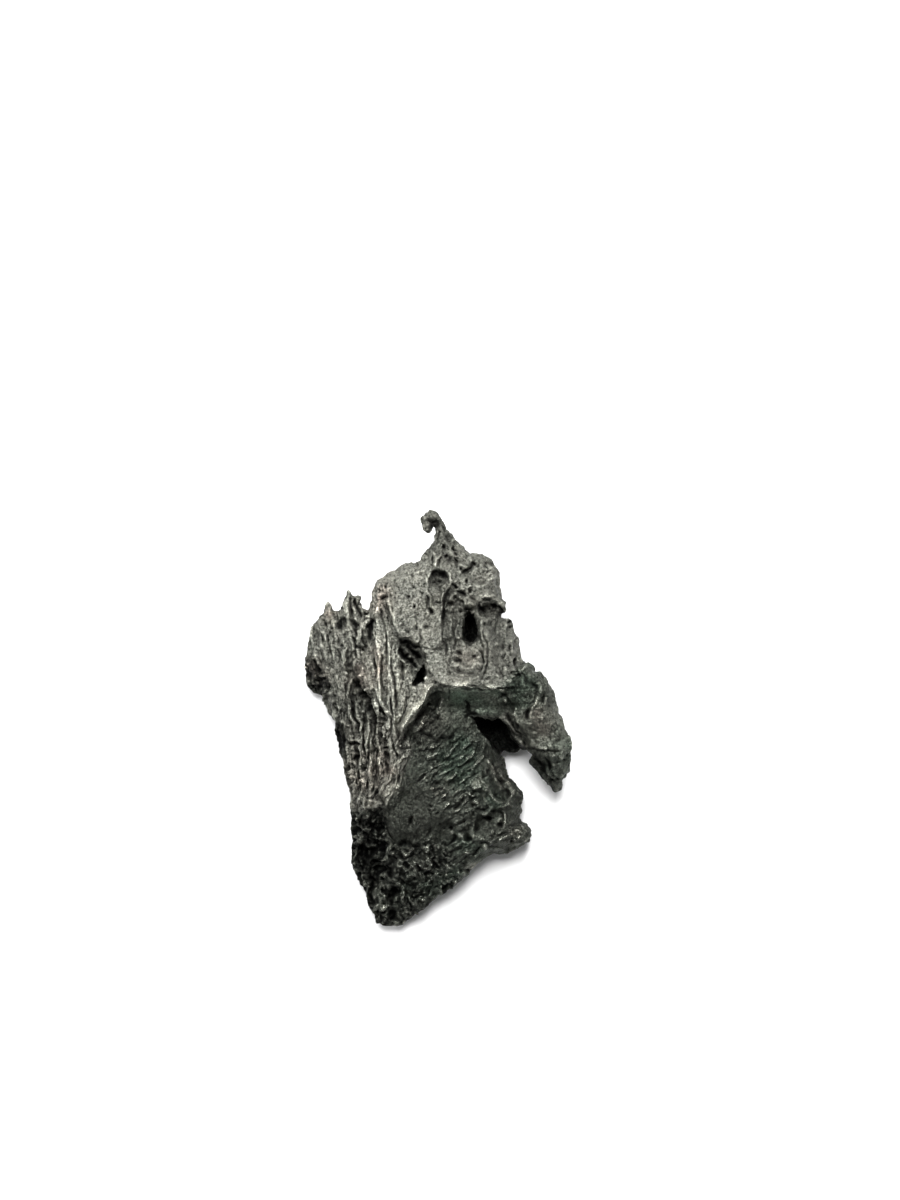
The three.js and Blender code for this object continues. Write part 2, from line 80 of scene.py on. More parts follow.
LINES = (
    # plate: curled tip and neck
    (0.45, -0.5, ((18.4, 57.65), (19, 57.95), (19.7, 58.15))),
    (0.3, -0.28, ((17.7, 58.7), (18.5, 58.6), (19.2, 58.8), (19.7, 58.4))),
    (0.35, 0.15, ((17.2, 58.2), (17.5, 57.5), (18, 57.2))),
    (0.3, -0.15, ((19.6, 57), (19.4, 56.2), (19.3, 55.2))),
    (0.35, -0.18, ((20.4, 57.6), (20.8, 56.4), (21.3, 55.4), (22.2, 54.5))),
    # the forked ridge over the oval pit
    (0.35, 0.32, ((18.75, 54.3), (19, 53.2), (19.05, 51.6))),
    (0.3, 0.25, ((19.7, 54), (19.25, 53))),
    (0.25, -0.25, ((18.5, 53.9), (18.68, 52.8), (18.7, 51.6))),
    (0.25, -0.25, ((19.85, 53.8), (19.45, 53), (19.35, 51.8))),
    # slash, curl and cracks of the upper right
    (0.32, -0.5, ((22.95, 51.1), (23.6, 51.6), (24.2, 52.3), (24.7, 52.9))),
    (0.28, -0.35, ((21.5, 53.3), (22, 52.9), (22.3, 52.4))),
    (0.25, -0.28, ((25.9, 52), (26.4, 51.8), (26.5, 51.3), (26.1, 51))),
    (0.22, -0.22, ((26.3, 52.5), (26.8, 52.1), (26.9, 51.3))),
    (0.3, 0.18, ((22.9, 51.2), (22.3, 51.8), (22.3, 53.2))),
    (0.3, -0.38, ((21.9, 48.5), (22.6, 48.35), (23.2, 47.95))),
    (0.25, -0.22, ((22, 49.6), (22.5, 50))),
    (0.35, -0.35, ((20.8, 49.4), (21.3, 49.5), (21.9, 49))),
    (0.3, -0.25, ((24.1, 47.6), (24.8, 47.3), (25.1, 46.6))),
    (0.4, 0.16, ((23, 49), (24.2, 49.4), (25.6, 49.2), (27, 49.6))),
    (0.4, 0.14, ((24.6, 51.6), (25.2, 50.6), (26.4, 50), (27.6, 50.4))),
    (0.35, -0.12, ((24, 50.6), (25, 49.9), (26.4, 49.5))),
    # rims of the oval pit
    (0.35, 0.3, ((20.5, 51.4), (20.95, 50.9), (21, 50), (20.85, 49.1), (20.4, 48.2))),
    (0.4, 0.22, ((18.6, 51.3), (18, 50.4), (17.85, 49.2), (18, 48), (18.4, 47))),
    (0.4, -0.35, ((18.6, 50.9), (19.4, 51.2), (20.5, 50.8))),
    # fine ridge and channel under it
    (0.28, 0.35, ((18.15, 48.4), (18.3, 47.2), (18.5, 46.2))),
    (0.25, -0.3, ((17.9, 47.6), (18.1, 46.8), (18.3, 46), (18.35, 45.1))),
    (1.1, -0.25, ((19.5, 49), (19.25, 47.6), (19.1, 46))),
    (0.25, -0.2, ((18.9, 46.95), (19.6, 47.3))),
    # the long trough down the plate
    (1.1, -0.55, ((21, 49), (20.7, 48), (20.5, 47), (20.4, 45.8), (20.2, 44.2))),
    (0.45, -0.35, ((20.3, 46.6), (20.05, 45.2), (20, 44.2), (20.1, 43))),
    (0.28, -0.3, ((20.1, 43.4), (20.25, 42), (20.45, 41), (20.55, 40), (20.65, 39))),
    (0.35, 0.18, ((20, 49), (20, 47.2), (19.85, 45.6), (19.7, 44.2))),
    (0.5, 0.16, ((21.4, 47.6), (21.3, 45.6), (21.3, 43.6), (21.3, 41.8))),
    (0.22, -0.2, ((19.75, 43.8), (19.65, 43))),
    # left part of the plate: rim band, arcs and cracks
    (0.45, -0.3, ((12, 47.2), (12.4, 45.6), (12.75, 43.8), (13.1, 42.6))),
    (0.3, 0.25, ((12.45, 47.8), (12.85, 46), (13.05, 44.4), (13.3, 43))),
    (0.25, -0.14, ((13.1, 50.4), (13, 48.8), (13.3, 47.2))),
    (0.35, 0.18, ((15.4, 42.2), (16.2, 43.2), (16.5, 44.2), (16.35, 45.2))),
    (0.3, -0.22, ((15.6, 42.4), (16.05, 42.9), (16.3, 43.4))),
    (0.3, -0.12, ((14.6, 43.4), (15, 44.5), (15.8, 45))),
    (0.3, 0.12, ((16.2, 50), (16.4, 51), (17.2, 51.6))),
    (0.25, -0.2, ((15.9, 52.1), (16.6, 51.9), (17.1, 52.1))),
    (0.22, -0.16, ((17.15, 43.2), (17.1, 42), (17, 41))),
    (0.18, -0.18, ((17, 40.35), (18, 40.4), (19, 40.1), (20.2, 40.2))),
    (0.22, -0.22, ((17.3, 39.1), (18.3, 39))),
    (0.35, 0.25, ((14.4, 41.75), (15.2, 41.8), (16, 41.55), (16.7, 41.1), (17.1, 40.75))),
    (0.22, -0.16, ((14.7, 48.6), (15.4, 47.2), (16.4, 46.2))),
    (0.4, -0.6, ((14.2, 41.2), (15.2, 41.35), (16.1, 41.05), (16.6, 40.6), (17.2, 40.3))),
    (0.45, -0.7, ((15.5, 40.6), (16.2, 39.9), (16.8, 39.1), (17.25, 38.1), (17.3, 37.2))),
    (0.35, -0.55, ((14.2, 39.9), (14.7, 39.2), (15.2, 38.9), (15.7, 38.3), (16.3, 37.8))),
    (0.3, 0.3, ((13.6, 40.4), (14, 39.2), (14.4, 38.4))),
    (0.3, 0.35, ((16, 40.4), (16.5, 40.2), (17.1, 40.3))),
    # lips round the teardrop hole
    (0.28, -0.28, ((22.4, 44.4), (21.9, 43.2), (21.75, 42.2))),
    (0.4, 0.22, ((22.6, 44.8), (22.2, 43.4), (22.1, 42.5), (22.5, 41.8))),
    (0.25, -0.28, ((21.9, 42), (21.9, 41), (21.8, 40.2))),
    (0.3, -0.16, ((22.8, 41.8), (23.2, 41.1))),
    (0.22, 0.14, ((25.3, 45), (25.5, 44), (25.7, 43), (25.75, 41.8), (25.9, 40.8), (26.1, 39.8),
        (26.15, 38.6), (25.9, 37.3))),
    (0.22, -0.24, ((25.9, 44.7), (26, 43.4), (26.05, 42), (26.4, 41), (26.5, 39.8), (26.4, 38.4),
        (26.25, 37.4), (25.9, 36.8), (25.3, 36), (25.1, 35.5))),
    # the ledge over the right strip and the dark recess under its lip
    (0.45, -0.3, ((25.6, 46.5), (26.3, 47.1), (27, 47.2), (27.7, 46.7), (28.3, 46), (29, 45.8))),
    (0.25, 0.22, ((25.5, 47.5), (26.4, 47.75), (27.3, 47.7), (28.1, 47.5))),
    (0.4, -0.3, ((25.2, 46.7), (25.8, 46), (26.3, 45.2))),
    (0.4, -0.4, ((23.1, 46), (23.8, 45.85), (24.5, 46.05))),
    (0.3, 0.25, ((22.4, 47.3), (23, 47), (23.4, 46.5))),
    # the bathtub basin
    (0.25, -0.28, ((25.2, 40.1), (25.65, 39.6), (25.75, 39), (25.6, 38.4), (25.3, 37.8))),
    (0.25, -0.22, ((20.7, 38.8), (20.9, 38), (21.4, 37.6), (22.6, 37.2), (24.2, 37), (25.2, 37.1))),
    (0.45, 0.14, ((21.4, 38.6), (22, 37.9), (23.2, 37.6), (24.4, 37.8), (25, 38.6))),
    (0.3, -0.18, ((22.4, 39.4), (22.9, 39.7))),
    (0.3, -0.22, ((23, 38.6), (23.8, 38.8), (24.6, 39.3))),
    # right strip
    (0.2, -0.22, ((28, 44.3), (28, 43), (28, 42), (27.85, 41.4))),
    (0.22, -0.32, ((28.7, 41.1), (28.5, 40.3))),
    (0.22, -0.32, ((29.6, 40.7), (29.6, 40))),
    (0.22, -0.3, ((28.85, 39.9), (28.5, 39.1))),
    (0.2, -0.2, ((29.3, 39.1), (29.4, 38.5))),
    (0.22, -0.2, ((30.3, 41.3), (30.5, 40.1))),
    (0.22, -0.16, ((27.2, 44.6), (27.4, 43.8))),
    (0.25, 0.14, ((29.2, 44.3), (29.1, 42.6), (29, 41))),
    (0.2, -0.2, ((27.9, 38), (28.5, 37.2), (29, 36.7))),
    (0.3, 0.28, ((29, 36.9), (29, 36.2), (29.5, 35.7), (29.95, 36.1), (30, 36.8))),
    # cross wrinkles over the arch
    (0.2, -0.14, ((21.6, 36.7), (23, 36.4), (24.4, 36.3))),
    # the arch's bright rim and the crack under it
    (0.28, 0.42, ((21, 34.75), (21.6, 34.95), (22.2, 35.2), (23.2, 35.2), (24.3, 35), (25.4, 35.05),
        (26.2, 34.75), (27.4, 34.8), (28.2, 34.5))),
    (0.25, -0.25, ((23, 34.7), (24.4, 34.6), (25.6, 34.6), (26.4, 34.3))),
    # lobe: between the spikes
    (0.3, 0.2, ((3.5, 46.5), (3.6, 45.4), (3.4, 44.2))),
    (0.3, -0.35, ((2.9, 44.8), (3.2, 44.2), (3.5, 43.7))),
    (0.28, -0.25, ((4.1, 45.7), (4.6, 45.2), (4.9, 44.6))),
    (0.25, -0.28, ((5.3, 45.9), (5.2, 45))),
    (0.35, 0.25, ((6.2, 48.2), (6.3, 47), (6.4, 45.6), (6.5, 44.5), (6.7, 43.5), (6.9, 42.5),
        (7.2, 41.5), (7.5, 40.4), (7.4, 38.8), (7.4, 37.2))),
    (0.35, -0.45, ((7, 47.6), (6.9, 46.4), (7, 45.2))),
    (0.5, -0.6, ((7.8, 46.6), (8.1, 45.8), (8.3, 45.1))),
    (0.6, -0.5, ((7.1, 44.6), (7.4, 43.6), (7.5, 42.6), (7.6, 41.8))),
    (0.35, -0.4, ((4.6, 46.2), (4.8, 45.4), (4.8, 44.4))),
    # hanging loops right of the round pit
    (0.25, -0.38, ((6.7, 43.4), (6.85, 42.4))),
    (0.3, -0.3, ((6, 42), (6.2, 42.45), (6.7, 42.35))),
    (0.32, -0.42, ((7.2, 42), (7.6, 41.1), (8, 40.4), (8.7, 40.05), (9.3, 40.1))),
    (0.3, 0.28, ((8.2, 43.2), (8.45, 42.2), (8.5, 41.2), (8.2, 40.7))),
    (0.28, -0.35, ((8.5, 43), (8.8, 42.1), (8.8, 41))),
    (0.28, 0.2, ((7.5, 43.2), (7.9, 42.2), (8, 41.4))),
    (0.3, -0.45, ((9.1, 41.6), (9.05, 40.9), (9.2, 40.2))),
    (0.45, -0.75, ((9.3, 43.3), (9.7, 43.8), (10.2, 44.4))),
    (0.5, -0.8, ((9.85, 43.6), (9.8, 42.6), (9.8, 41.4))),
    (0.25, 0.25, ((9.4, 42.6), (9.4, 41.6), (9.6, 40.6))),
    (0.25, -0.25, ((8.1, 44.3), (8.8, 44.7), (9.4, 44.6))),
    # grooves of the lobe
    (0.32, -0.26, ((2.4, 42.7), (2.5, 41.9), (2.6, 41.1))),
    (0.25, -0.21, ((3.75, 42.6), (3.5, 41.6), (3.6, 40.8))),
    (0.23, -0.19, ((3.8, 41), (4.05, 40), (4.2, 39.2))),
    (0.27, -0.17, ((1.3, 43.6), (1.4, 42.2), (1.6, 40.8))),
    (0.27, 0.14, ((3, 43.4), (3, 41.8), (3.1, 40.2))),
    (0.25, -0.17, ((4.9, 42.4), (5, 41), (5.2, 39.6), (5.2, 38.4))),
    (0.27, 0.14, ((5.6, 42.2), (5.9, 40.6), (6.1, 39))),
    (0.25, -0.17, ((6.4, 41.4), (6.6, 40), (6.6, 38.6), (6.5, 37.2))),
    (0.23, -0.17, ((2.2, 39.6), (2.6, 38.4), (3.2, 37.2))),
    (0.23, 0.12, ((4.4, 38.8), (4.6, 37.4), (5, 36.2))),
    (0.23, -0.15, ((3.6, 38.4), (4, 37), (4.7, 35.8))),
    # curved lip and slit at the lobe's lower edge
    (0.32, 0.26, ((4.15, 33.95), (3.75, 33.2), (3.45, 32.4), (3.3, 31.7))),
    (0.32, -0.32, ((4, 33.2), (4.3, 33.7), (4.8, 33.5))),
    (0.27, 0.15, ((4.8, 32.6), (5.2, 31.8), (5.2, 30.9))),
    (0.23, -0.19, ((4.3, 32.2), (4.6, 31.4), (5, 30.6))),
    # top of the band, round its slot
    (0.36, -0.56, ((11.1, 47.45), (11.5, 47.5), (11.95, 47.8))),
    (0.23, -0.17, ((9.8, 46.2), (10.4, 46.8), (11, 47.2))),
    (0.23, 0.15, ((9.7, 45.6), (10.3, 46.3), (10.9, 46.7))),
    (0.25, 0.21, ((11.9, 47.2), (12.2, 46.2), (12.4, 45), (12.6, 43.6))),
    (0.25, -0.24, ((11.3, 47), (11.9, 46.4), (12.1, 45.2), (12.3, 44))),
    # its upright ribs
    (0.25, -0.33, ((10.65, 45.6), (10.55, 44), (10.5, 42.4), (10.55, 41), (10.8, 39.6),
        (10.95, 38.4))),
    (0.36, 0.28, ((11, 46), (10.95, 44), (10.95, 42), (11.1, 40), (11.25, 38.2))),
    (0.25, -0.31, ((11.35, 45.6), (11.6, 44.5), (11.85, 43.2), (12.1, 41.8), (12.15, 40.2),
        (12.1, 38.6))),
    (0.32, 0.19, ((11.7, 43), (11.7, 41.4), (11.75, 39.6), (12, 38))),
    (0.23, -0.21, ((12.9, 41.8), (12.8, 40.4), (12.75, 39.2), (12.9, 38))),
    (0.27, -0.34, ((11.55, 39.4), (11.6, 37.8), (11.55, 36.4), (11.65, 35.2), (11.85, 34.4))),
    (0.34, 0.28, ((12.6, 39.2), (12.45, 37.6), (12.6, 36.4), (12.85, 35.4))),
    (0.27, -0.34, ((12.9, 38.2), (13.05, 37), (13.3, 36), (13.4, 34.9), (13.5, 33.8))),
    (0.27, -0.47, ((12.75, 33.4), (12.85, 32.3), (12.95, 31.1))),
    (0.25, -0.36, ((13.55, 34), (13.65, 32.8), (13.55, 31.7))),
    (0.29, 0.21, ((13.15, 34.6), (13.2, 33.2), (13.2, 31.8))),
    (0.32, 0.19, ((14, 37), (14.1, 35.4), (14.1, 33.8), (14.2, 32.4))),
    (0.23, -0.24, ((14.3, 37.8), (14.45, 36.6), (14.6, 35.4))),
    (0.23, -0.19, ((15.3, 35.4), (15.3, 34.2), (15.25, 33))),
    (0.27, 0.19, ((9.7, 40), (9.9, 38.4), (10.1, 37))),
    (0.23, -0.21, ((10.3, 39.8), (10.3, 38.4), (10.5, 37), (10.6, 35.6))),
    (0.25, -0.21, ((8.4, 39.2), (8.6, 38), (8.7, 36.9))),
    # the lens-shaped furrow and the ridge in it
    (0.63, -0.65, ((7.3, 36.3), (7.8, 35.2), (8.4, 34), (9, 32.9), (9.3, 31.8), (9.7, 30.9),
        (10.3, 30.1))),
    (0.36, -0.47, ((8.9, 33.3), (9.35, 32.6), (9.4, 31.6), (9.8, 30.9))),
    (0.25, 0.39, ((7.9, 32.6), (8.3, 31.8), (8.8, 31))),
    (0.25, -0.34, ((8.15, 32.4), (8.5, 31.6), (8.95, 30.9))),
    (0.25, -0.43, ((6.9, 35.2), (6.9, 34), (7.05, 33), (7.2, 32), (7.45, 31), (7.6, 29.6),
        (7.5, 28.2))),
    (0.32, 0.28, ((6.9, 36.1), (6.7, 35), (6.65, 33.8), (6.85, 32.6), (6.9, 31.4), (7.1, 30),
        (7, 28.4))),
    (0.25, -0.3, ((6.2, 36.9), (6.5, 35.6), (6.3, 34.2), (6.2, 33), (6.35, 31.6), (6.6, 30),
        (6.7, 28.2))),
    (0.32, 0.21, ((7.7, 34), (7.7, 33), (7.75, 31.8), (8, 30), (8, 28.4))),
    (0.27, -0.34, ((8.7, 31), (8.65, 29.6), (8.6, 28), (8.9, 26.6), (9, 25))),
    (0.27, 0.26, ((9.2, 31.4), (9.35, 29.8), (9.35, 28.2), (9.4, 26.6), (9.3, 25.2))),
    (0.27, -0.33, ((12.6, 31), (12.75, 29.6), (12.7, 28.2), (12.9, 26.8))),
    (0.27, 0.26, ((13.2, 31.2), (13.25, 29.6), (13.2, 28.2))),
    (0.25, -0.3, ((13.6, 30.4), (13.65, 29.2), (13.7, 28), (13.4, 27))),
    # bright lips right of the furrow
    (0.36, 0.28, ((8.7, 34.5), (9.4, 34.65), (10.2, 34.55))),
    (0.27, 0.26, ((9.7, 33.4), (9.7, 32.2))),
    (0.32, 0.33, ((10.6, 34.7), (10.95, 33.9), (11.2, 33), (11.6, 32.2), (12.1, 31.6), (12.7, 31),
        (13.1, 30.3))),
    (0.41, -0.34, ((10.3, 31.8), (10.9, 31.7), (11.5, 31.2), (12.2, 30.6))),
    (0.23, -0.21, ((10.5, 33.6), (10.8, 32.8), (11.2, 32))),
    # fibres: the tall loop
    (0.32, 0.25, ((10.6, 30.15), (11.2, 29.95), (11.8, 30), (12.2, 29.5), (12.45, 28.7))),
    (0.29, 0.34, ((10.7, 30.1), (10.8, 29), (10.9, 28), (11.05, 27), (11.15, 25.9))),
    (0.25, -0.33, ((11.15, 29.6), (11.2, 28.4), (11.25, 27.4), (11.4, 26.4))),
    (0.25, 0.23, ((11.5, 29.5), (11.65, 28.4), (11.7, 27.2))),
    (0.23, -0.26, ((11.95, 29.4), (11.9, 28.2), (11.8, 27), (11.95, 26.2))),
    (0.25, -0.33, ((10.4, 30.1), (10.5, 29), (10.5, 28), (10.3, 27), (10.15, 26), (10.1, 25))),
    (0.27, -0.29, ((9.8, 29.6), (9.75, 28.4), (9.8, 27.2), (9.55, 26), (9.6, 25))),
    (0.27, 0.18, ((10.15, 29.4), (10.1, 28), (9.95, 26.6), (9.9, 25.4))),
    (0.32, 0.25, ((8.3, 29.8), (8.25, 28.6), (8.3, 27.6), (8.6, 26.6), (8.6, 25.4))),
    (0.25, -0.29, ((7.9, 29.9), (7.85, 28.9), (7.95, 27.9))),
    (0.27, -0.25, ((9, 29.6), (8.95, 28.2), (9.05, 26.8), (9.2, 25.4))),
    # lip and curl beside the side notch
    (0.36, 0.25, ((4.9, 29.9), (5.6, 29.65), (6.2, 29.25), (6.7, 29.1))),
    (0.32, 0.29, ((6.2, 27.4), (6.6, 27), (7.3, 27.15), (7.9, 27.4))),
    (0.25, -0.23, ((6.1, 26.9), (6.9, 26.5), (7.5, 26.75), (8, 26.75), (8.15, 26), (8.3, 25.2),
        (8.7, 24.6))),
    (0.25, 0.2, ((7.6, 26.4), (7.9, 25.9), (8, 25.2))),
    (0.32, -0.49, ((7.15, 24.4), (7.5, 24.9), (8.1, 25.1))),
    (0.23, -0.25, ((5.7, 25.2), (5.85, 24.2))),
    (0.25, 0.2, ((6.25, 26.3), (6.3, 25.2), (6.6, 24.4))),
    (0.25, 0.18, ((5.3, 25.4), (5.4, 24.2))),
    # edge of the fibres beside the hollow
    (0.27, 0.26, ((13.2, 27.3), (13.8, 26.7), (14.3, 26.5))),
    (0.32, 0.31, ((13.3, 26.8), (13.6, 25.8), (14.2, 24.95))),
    (0.25, -0.31, ((13, 26.4), (13.4, 25.4), (13.9, 24.75))),
    (0.23, -0.25, ((14.3, 26.1), (14.9, 26), (15.6, 26.3))),
    (0.32, 0.33, ((15.2, 24.8), (14.5, 24.5), (13.95, 24.05), (13.55, 23.5), (13.3, 22.8),
        (13.15, 22.2))),
    (0.23, -0.31, ((14.5, 24.2), (13.9, 23.75), (13.6, 23.1))),
    (0.32, 0.31, ((14.35, 23.8), (14.35, 22.8), (14.3, 21.8), (14, 20.9))),
    (0.25, -0.25, ((13.25, 21.9), (13.1, 21.2))),
    (0.23, -0.2, ((13.9, 23.2), (13.85, 22.2), (13.7, 21.4))),
    # lower fibres
    (0.27, -0.31, ((10.7, 26), (10.8, 24.6), (10.75, 23.2), (10.8, 22))),
    (0.27, -0.29, ((12, 26), (11.95, 24.6), (12, 23.2), (12.4, 22.2))),
    (0.27, 0.25, ((12.6, 27.6), (12.65, 26), (12.75, 24.6), (12.7, 23.2))),
    (0.25, -0.26, ((8.9, 25.4), (8.95, 24), (8.9, 22.8))),
    (0.25, -0.26, ((7.6, 25.8), (7.7, 24.2), (7.75, 22.9))),
    (0.27, -0.34, ((9.4, 24.8), (9.5, 23.8), (9.5, 22.9), (9.35, 22.2))),
    (0.27, -0.29, ((10.4, 24.6), (10.4, 23.2), (10.3, 22.4))),
    (0.32, 0.25, ((11, 25), (11, 24), (11, 23))),
    (0.32, 0.23, ((11.35, 25.6), (11.45, 24.7), (11.6, 23.9))),
    (0.25, -0.25, ((11.5, 24.4), (11.6, 23.2), (11.5, 22.2))),
    (0.25, -0.2, ((12.2, 25.2), (12.3, 24), (12.3, 23))),
    (0.27, -0.25, ((7, 23.8), (7.2, 22.6), (7.4, 21.4), (7.6, 20), (7.5, 18.8))),
    (0.27, 0.23, ((6.8, 22.6), (7, 21.4), (7.1, 20))),
    (0.27, -0.25, ((8.3, 23), (8.25, 21.8), (8, 20.4), (8, 19))),
    (0.32, 0.2, ((8.8, 22.8), (8.75, 21.4), (8.5, 20), (8.5, 18.8))),
    (0.25, -0.23, ((9.4, 22), (9.1, 20.8), (9, 19.6))),
    # the bright ribs that end over the foot
    (0.32, 0.31, ((9, 18.6), (9.6, 19.2), (10.2, 19.9), (10.5, 20.7))),
    (0.32, 0.31, ((10.1, 18.9), (10.7, 19.7), (11.3, 20.5), (11.8, 21.4), (12.3, 22.3))),
    (0.32, 0.31, ((11, 19.8), (11.8, 20.7), (12.5, 21.5), (12.9, 22.4))),
    (0.23, -0.29, ((10.3, 19.2), (10.8, 19.9), (11.4, 20.7), (11.9, 21.4))),
    (0.23, -0.29, ((9.9, 18.8), (10.4, 19.5), (10.6, 20.2))),
    (0.23, -0.25, ((11.5, 20.2), (12.2, 20.8), (12.8, 21.4))),
    (0.23, -0.29, ((9.1, 18.75), (9.5, 18.95))),
    (0.25, -0.37, ((10.15, 20.6), (9.9, 19.9))),
    (0.45, 0.33, ((11.9, 19.3), (12.6, 20.1), (13.3, 20.9), (13.8, 20.4))),
    (0.36, 0.29, ((12, 18.2), (12.4, 18.9), (13, 19.6))),
    (0.41, -0.49, ((10.4, 18.9), (11, 19.15), (11.6, 18.7), (11.6, 18.1))),
    # bright left rim of the hollow
    (0.3, 0.5, ((18.5, 35), (18.15, 34.3), (17.8, 33.6), (17.4, 32.9), (16.9, 32.2), (16.4, 31.5))),
    (0.3, -0.35, ((18.9, 34.8), (18.5, 34.1), (18.15, 33.4), (17.7, 32.7), (17.2, 32),
        (16.8, 31.3))),
    (0.5, 0.45, ((16.1, 31.4), (15.5, 30.6), (14.9, 29.9), (14.4, 29.2), (14.3, 28.3))),
    (0.3, -0.4, ((16.3, 30.8), (15.8, 30.1), (15.2, 29.3), (14.8, 28.5))),
    (0.35, -0.6, ((15.15, 32.1), (15, 31.4), (14.5, 30.7), (14.15, 30), (13.95, 29))),
    (0.3, -0.4, ((14.9, 28.3), (14.8, 27.4))),
    # its broken upper corner
    (0.35, -0.42, ((19.6, 34.5), (19.2, 33.9), (18.5, 33.4))),
    (0.3, -0.6, ((19.6, 33.3), (19.35, 32.7), (19.25, 32))),
    (0.28, 0.32, ((19.9, 33.3), (19.7, 32.4), (19.55, 31.6), (19.5, 30.9))),
    (0.35, 0.2, ((18.2, 33.2), (18.4, 32.4), (18.7, 31.6))),
    (0.35, -0.65, ((17.65, 31.15), (17.15, 30.7), (16.75, 30.1), (16.3, 29.3))),
    (0.28, 0.35, ((17.8, 30.7), (17.4, 29.9), (17, 29.2), (16.4, 28.6), (16, 28.3))),
    (0.25, 0.28, ((16.9, 30), (16.5, 29.4), (16.2, 28.9))),
    (0.25, -0.4, ((17.3, 29.9), (16.8, 29.2), (16.3, 28.75))),
    (0.45, -0.45, ((16.9, 28.4), (17.6, 28.1), (18.3, 27.85), (18.9, 27.5))),
    (0.4, -0.3, ((19.6, 27.6), (20.6, 27.4), (21.6, 27.6))),
    # faint rays over the smooth part
    (0.22, -0.16, ((19, 28.7), (19.7, 29.7), (20.2, 30.4))),
    (0.22, 0.14, ((19.4, 28.6), (20, 29.5))),
    (0.22, -0.18, ((21.1, 28.7), (21.5, 29.5))),
    (0.28, -0.3, ((21.8, 29.5), (22.3, 30), (22.8, 30.5))),
    (0.25, 0.16, ((22.2, 29.6), (22.8, 30.1))),
    # the crease that leads into the cave
    (0.4, -0.45, ((23, 32.4), (23.4, 32.6), (23.9, 32.2), (24.1, 31.7))),
    (0.45, -0.55, ((24, 31.7), (23.6, 31.2), (23.4, 30.9), (24.1, 30.8), (25, 30.6))),
    (0.25, -0.18, ((20.9, 34.4), (20.95, 33.2))),
    (0.25, -0.18, ((21, 31.5), (21.8, 31.4))),
    (0.35, 0.2, ((24.5, 29), (24.6, 28.1), (24.9, 27.4), (24.9, 26.6))),
    (0.25, 0.25, ((25.2, 29), (25.6, 28.3), (26.3, 27.2), (26.9, 26.4), (27.3, 25.6))),
    # ripples
    (0.26, 0.25, ((20.2, 24.9), (20.9, 25.3), (21.3, 25.9), (21.9, 26.4), (22.4, 26.9))),
    (0.25, -0.28, ((20.6, 25.5), (21.1, 26), (21.7, 26.6))),
    (0.25, 0.18, ((21, 26.8), (21.7, 27.15), (22.3, 27.5))),
    (0.25, -0.21, ((22, 26.1), (22.6, 26.5), (23.2, 26.9))),
    (0.25, 0.2, ((22.4, 24.8), (22.9, 25.2), (23.2, 25.7))),
    (0.22, 0.18, ((22.8, 25.9), (23.4, 26.4), (23.9, 26.8))),
    (0.25, -0.21, ((21.2, 24.4), (21.9, 24.9), (22.6, 25.4))),
    (0.26, -0.25, ((19, 24.6), (19.6, 25), (20.2, 25.5))),
    (0.26, 0.18, ((17.8, 24.9), (18.8, 25.2), (19.6, 25.8))),
    (0.26, -0.22, ((16.4, 24.1), (17.2, 24.25), (18, 24.15))),
    (0.25, -0.2, ((16.7, 24.8), (17.4, 24.9), (18.1, 25.2))),
    (0.25, -0.2, ((16.8, 25.6), (17.5, 25.75), (18.2, 25.9))),
    (0.25, -0.2, ((16.2, 26.4), (16.8, 26.8))),
    (0.31, -0.35, ((16.2, 21.2), (16.8, 21.5), (17.3, 22.1), (17.9, 22.8))),
    (0.26, 0.26, ((16.2, 20.9), (17, 21.15), (17.5, 21.8), (18, 22.5), (18.4, 23.1), (18.7, 23.8))),
    (0.26, -0.3, ((16.8, 22.85), (17.4, 23.2), (18, 23.65))),
    (0.25, 0.21, ((16.8, 23.5), (17.4, 23.9), (18.1, 24.5))),
    (0.25, 0.15, ((19, 22.6), (19.6, 23.2), (20, 23.9))),
    (0.25, 0.2, ((19.2, 21.6), (19.8, 21.9), (20.2, 21.7))),
    (0.28, 0.26, ((20.5, 21.6), (21.2, 21.75), (21.6, 22.1), (21.8, 22.6))),
    (0.28, -0.3, ((20.9, 22.1), (21.3, 22.6))),
    (0.25, 0.2, ((22, 22.3), (22.6, 22.5), (23.1, 22.8))),
    (0.25, -0.21, ((22, 23.1), (22.9, 23.4), (23.6, 23.8), (24.4, 24))),
    (0.26, 0.2, ((22.2, 23.4), (22.9, 23.7), (23.6, 24.3), (24.2, 24.8))),
    (0.25, 0.2, ((22.4, 20.9), (22.7, 21.3), (22.9, 21.8))),
    (0.35, -0.28, ((22.8, 20.9), (23.5, 20.9), (24, 20.3))),
    (0.35, -0.32, ((19.2, 20.9), (19.5, 21.2), (19.9, 21.1))),
    (0.26, -0.25, ((19.8, 21.3), (20.8, 21.3), (21.6, 21.2), (22.3, 21.4))),
    (0.26, 0.26, ((17.3, 19.2), (17.8, 19.4), (18.5, 19.2), (19, 19.6), (19.5, 20), (20.3, 20.35))),
    (0.25, -0.25, ((18.8, 19.9), (19.3, 20.3), (19.9, 20.55))),
    (0.22, -0.2, ((17.15, 19.2), (17.5, 19.65))),
    (0.22, -0.14, ((19.4, 18.2), (20.2, 18.6), (21.2, 18.7))),
    (0.25, 0.14, ((20.6, 18.4), (21.4, 19), (22.4, 19.3))),
    (0.26, 0.28, ((21.2, 17.1), (21.9, 17.1), (22.4, 17.5), (22.8, 18), (23.4, 18.5),
        (23.9, 18.9))),
    (0.25, -0.28, ((21.5, 17.5), (22.1, 17.6), (22.5, 18.1), (23, 18.6))),
    (0.25, -0.22, ((20.6, 17.4), (21.3, 17.5))),
    (0.25, -0.3, ((18.35, 15), (18.2, 14), (18.05, 13.2))),
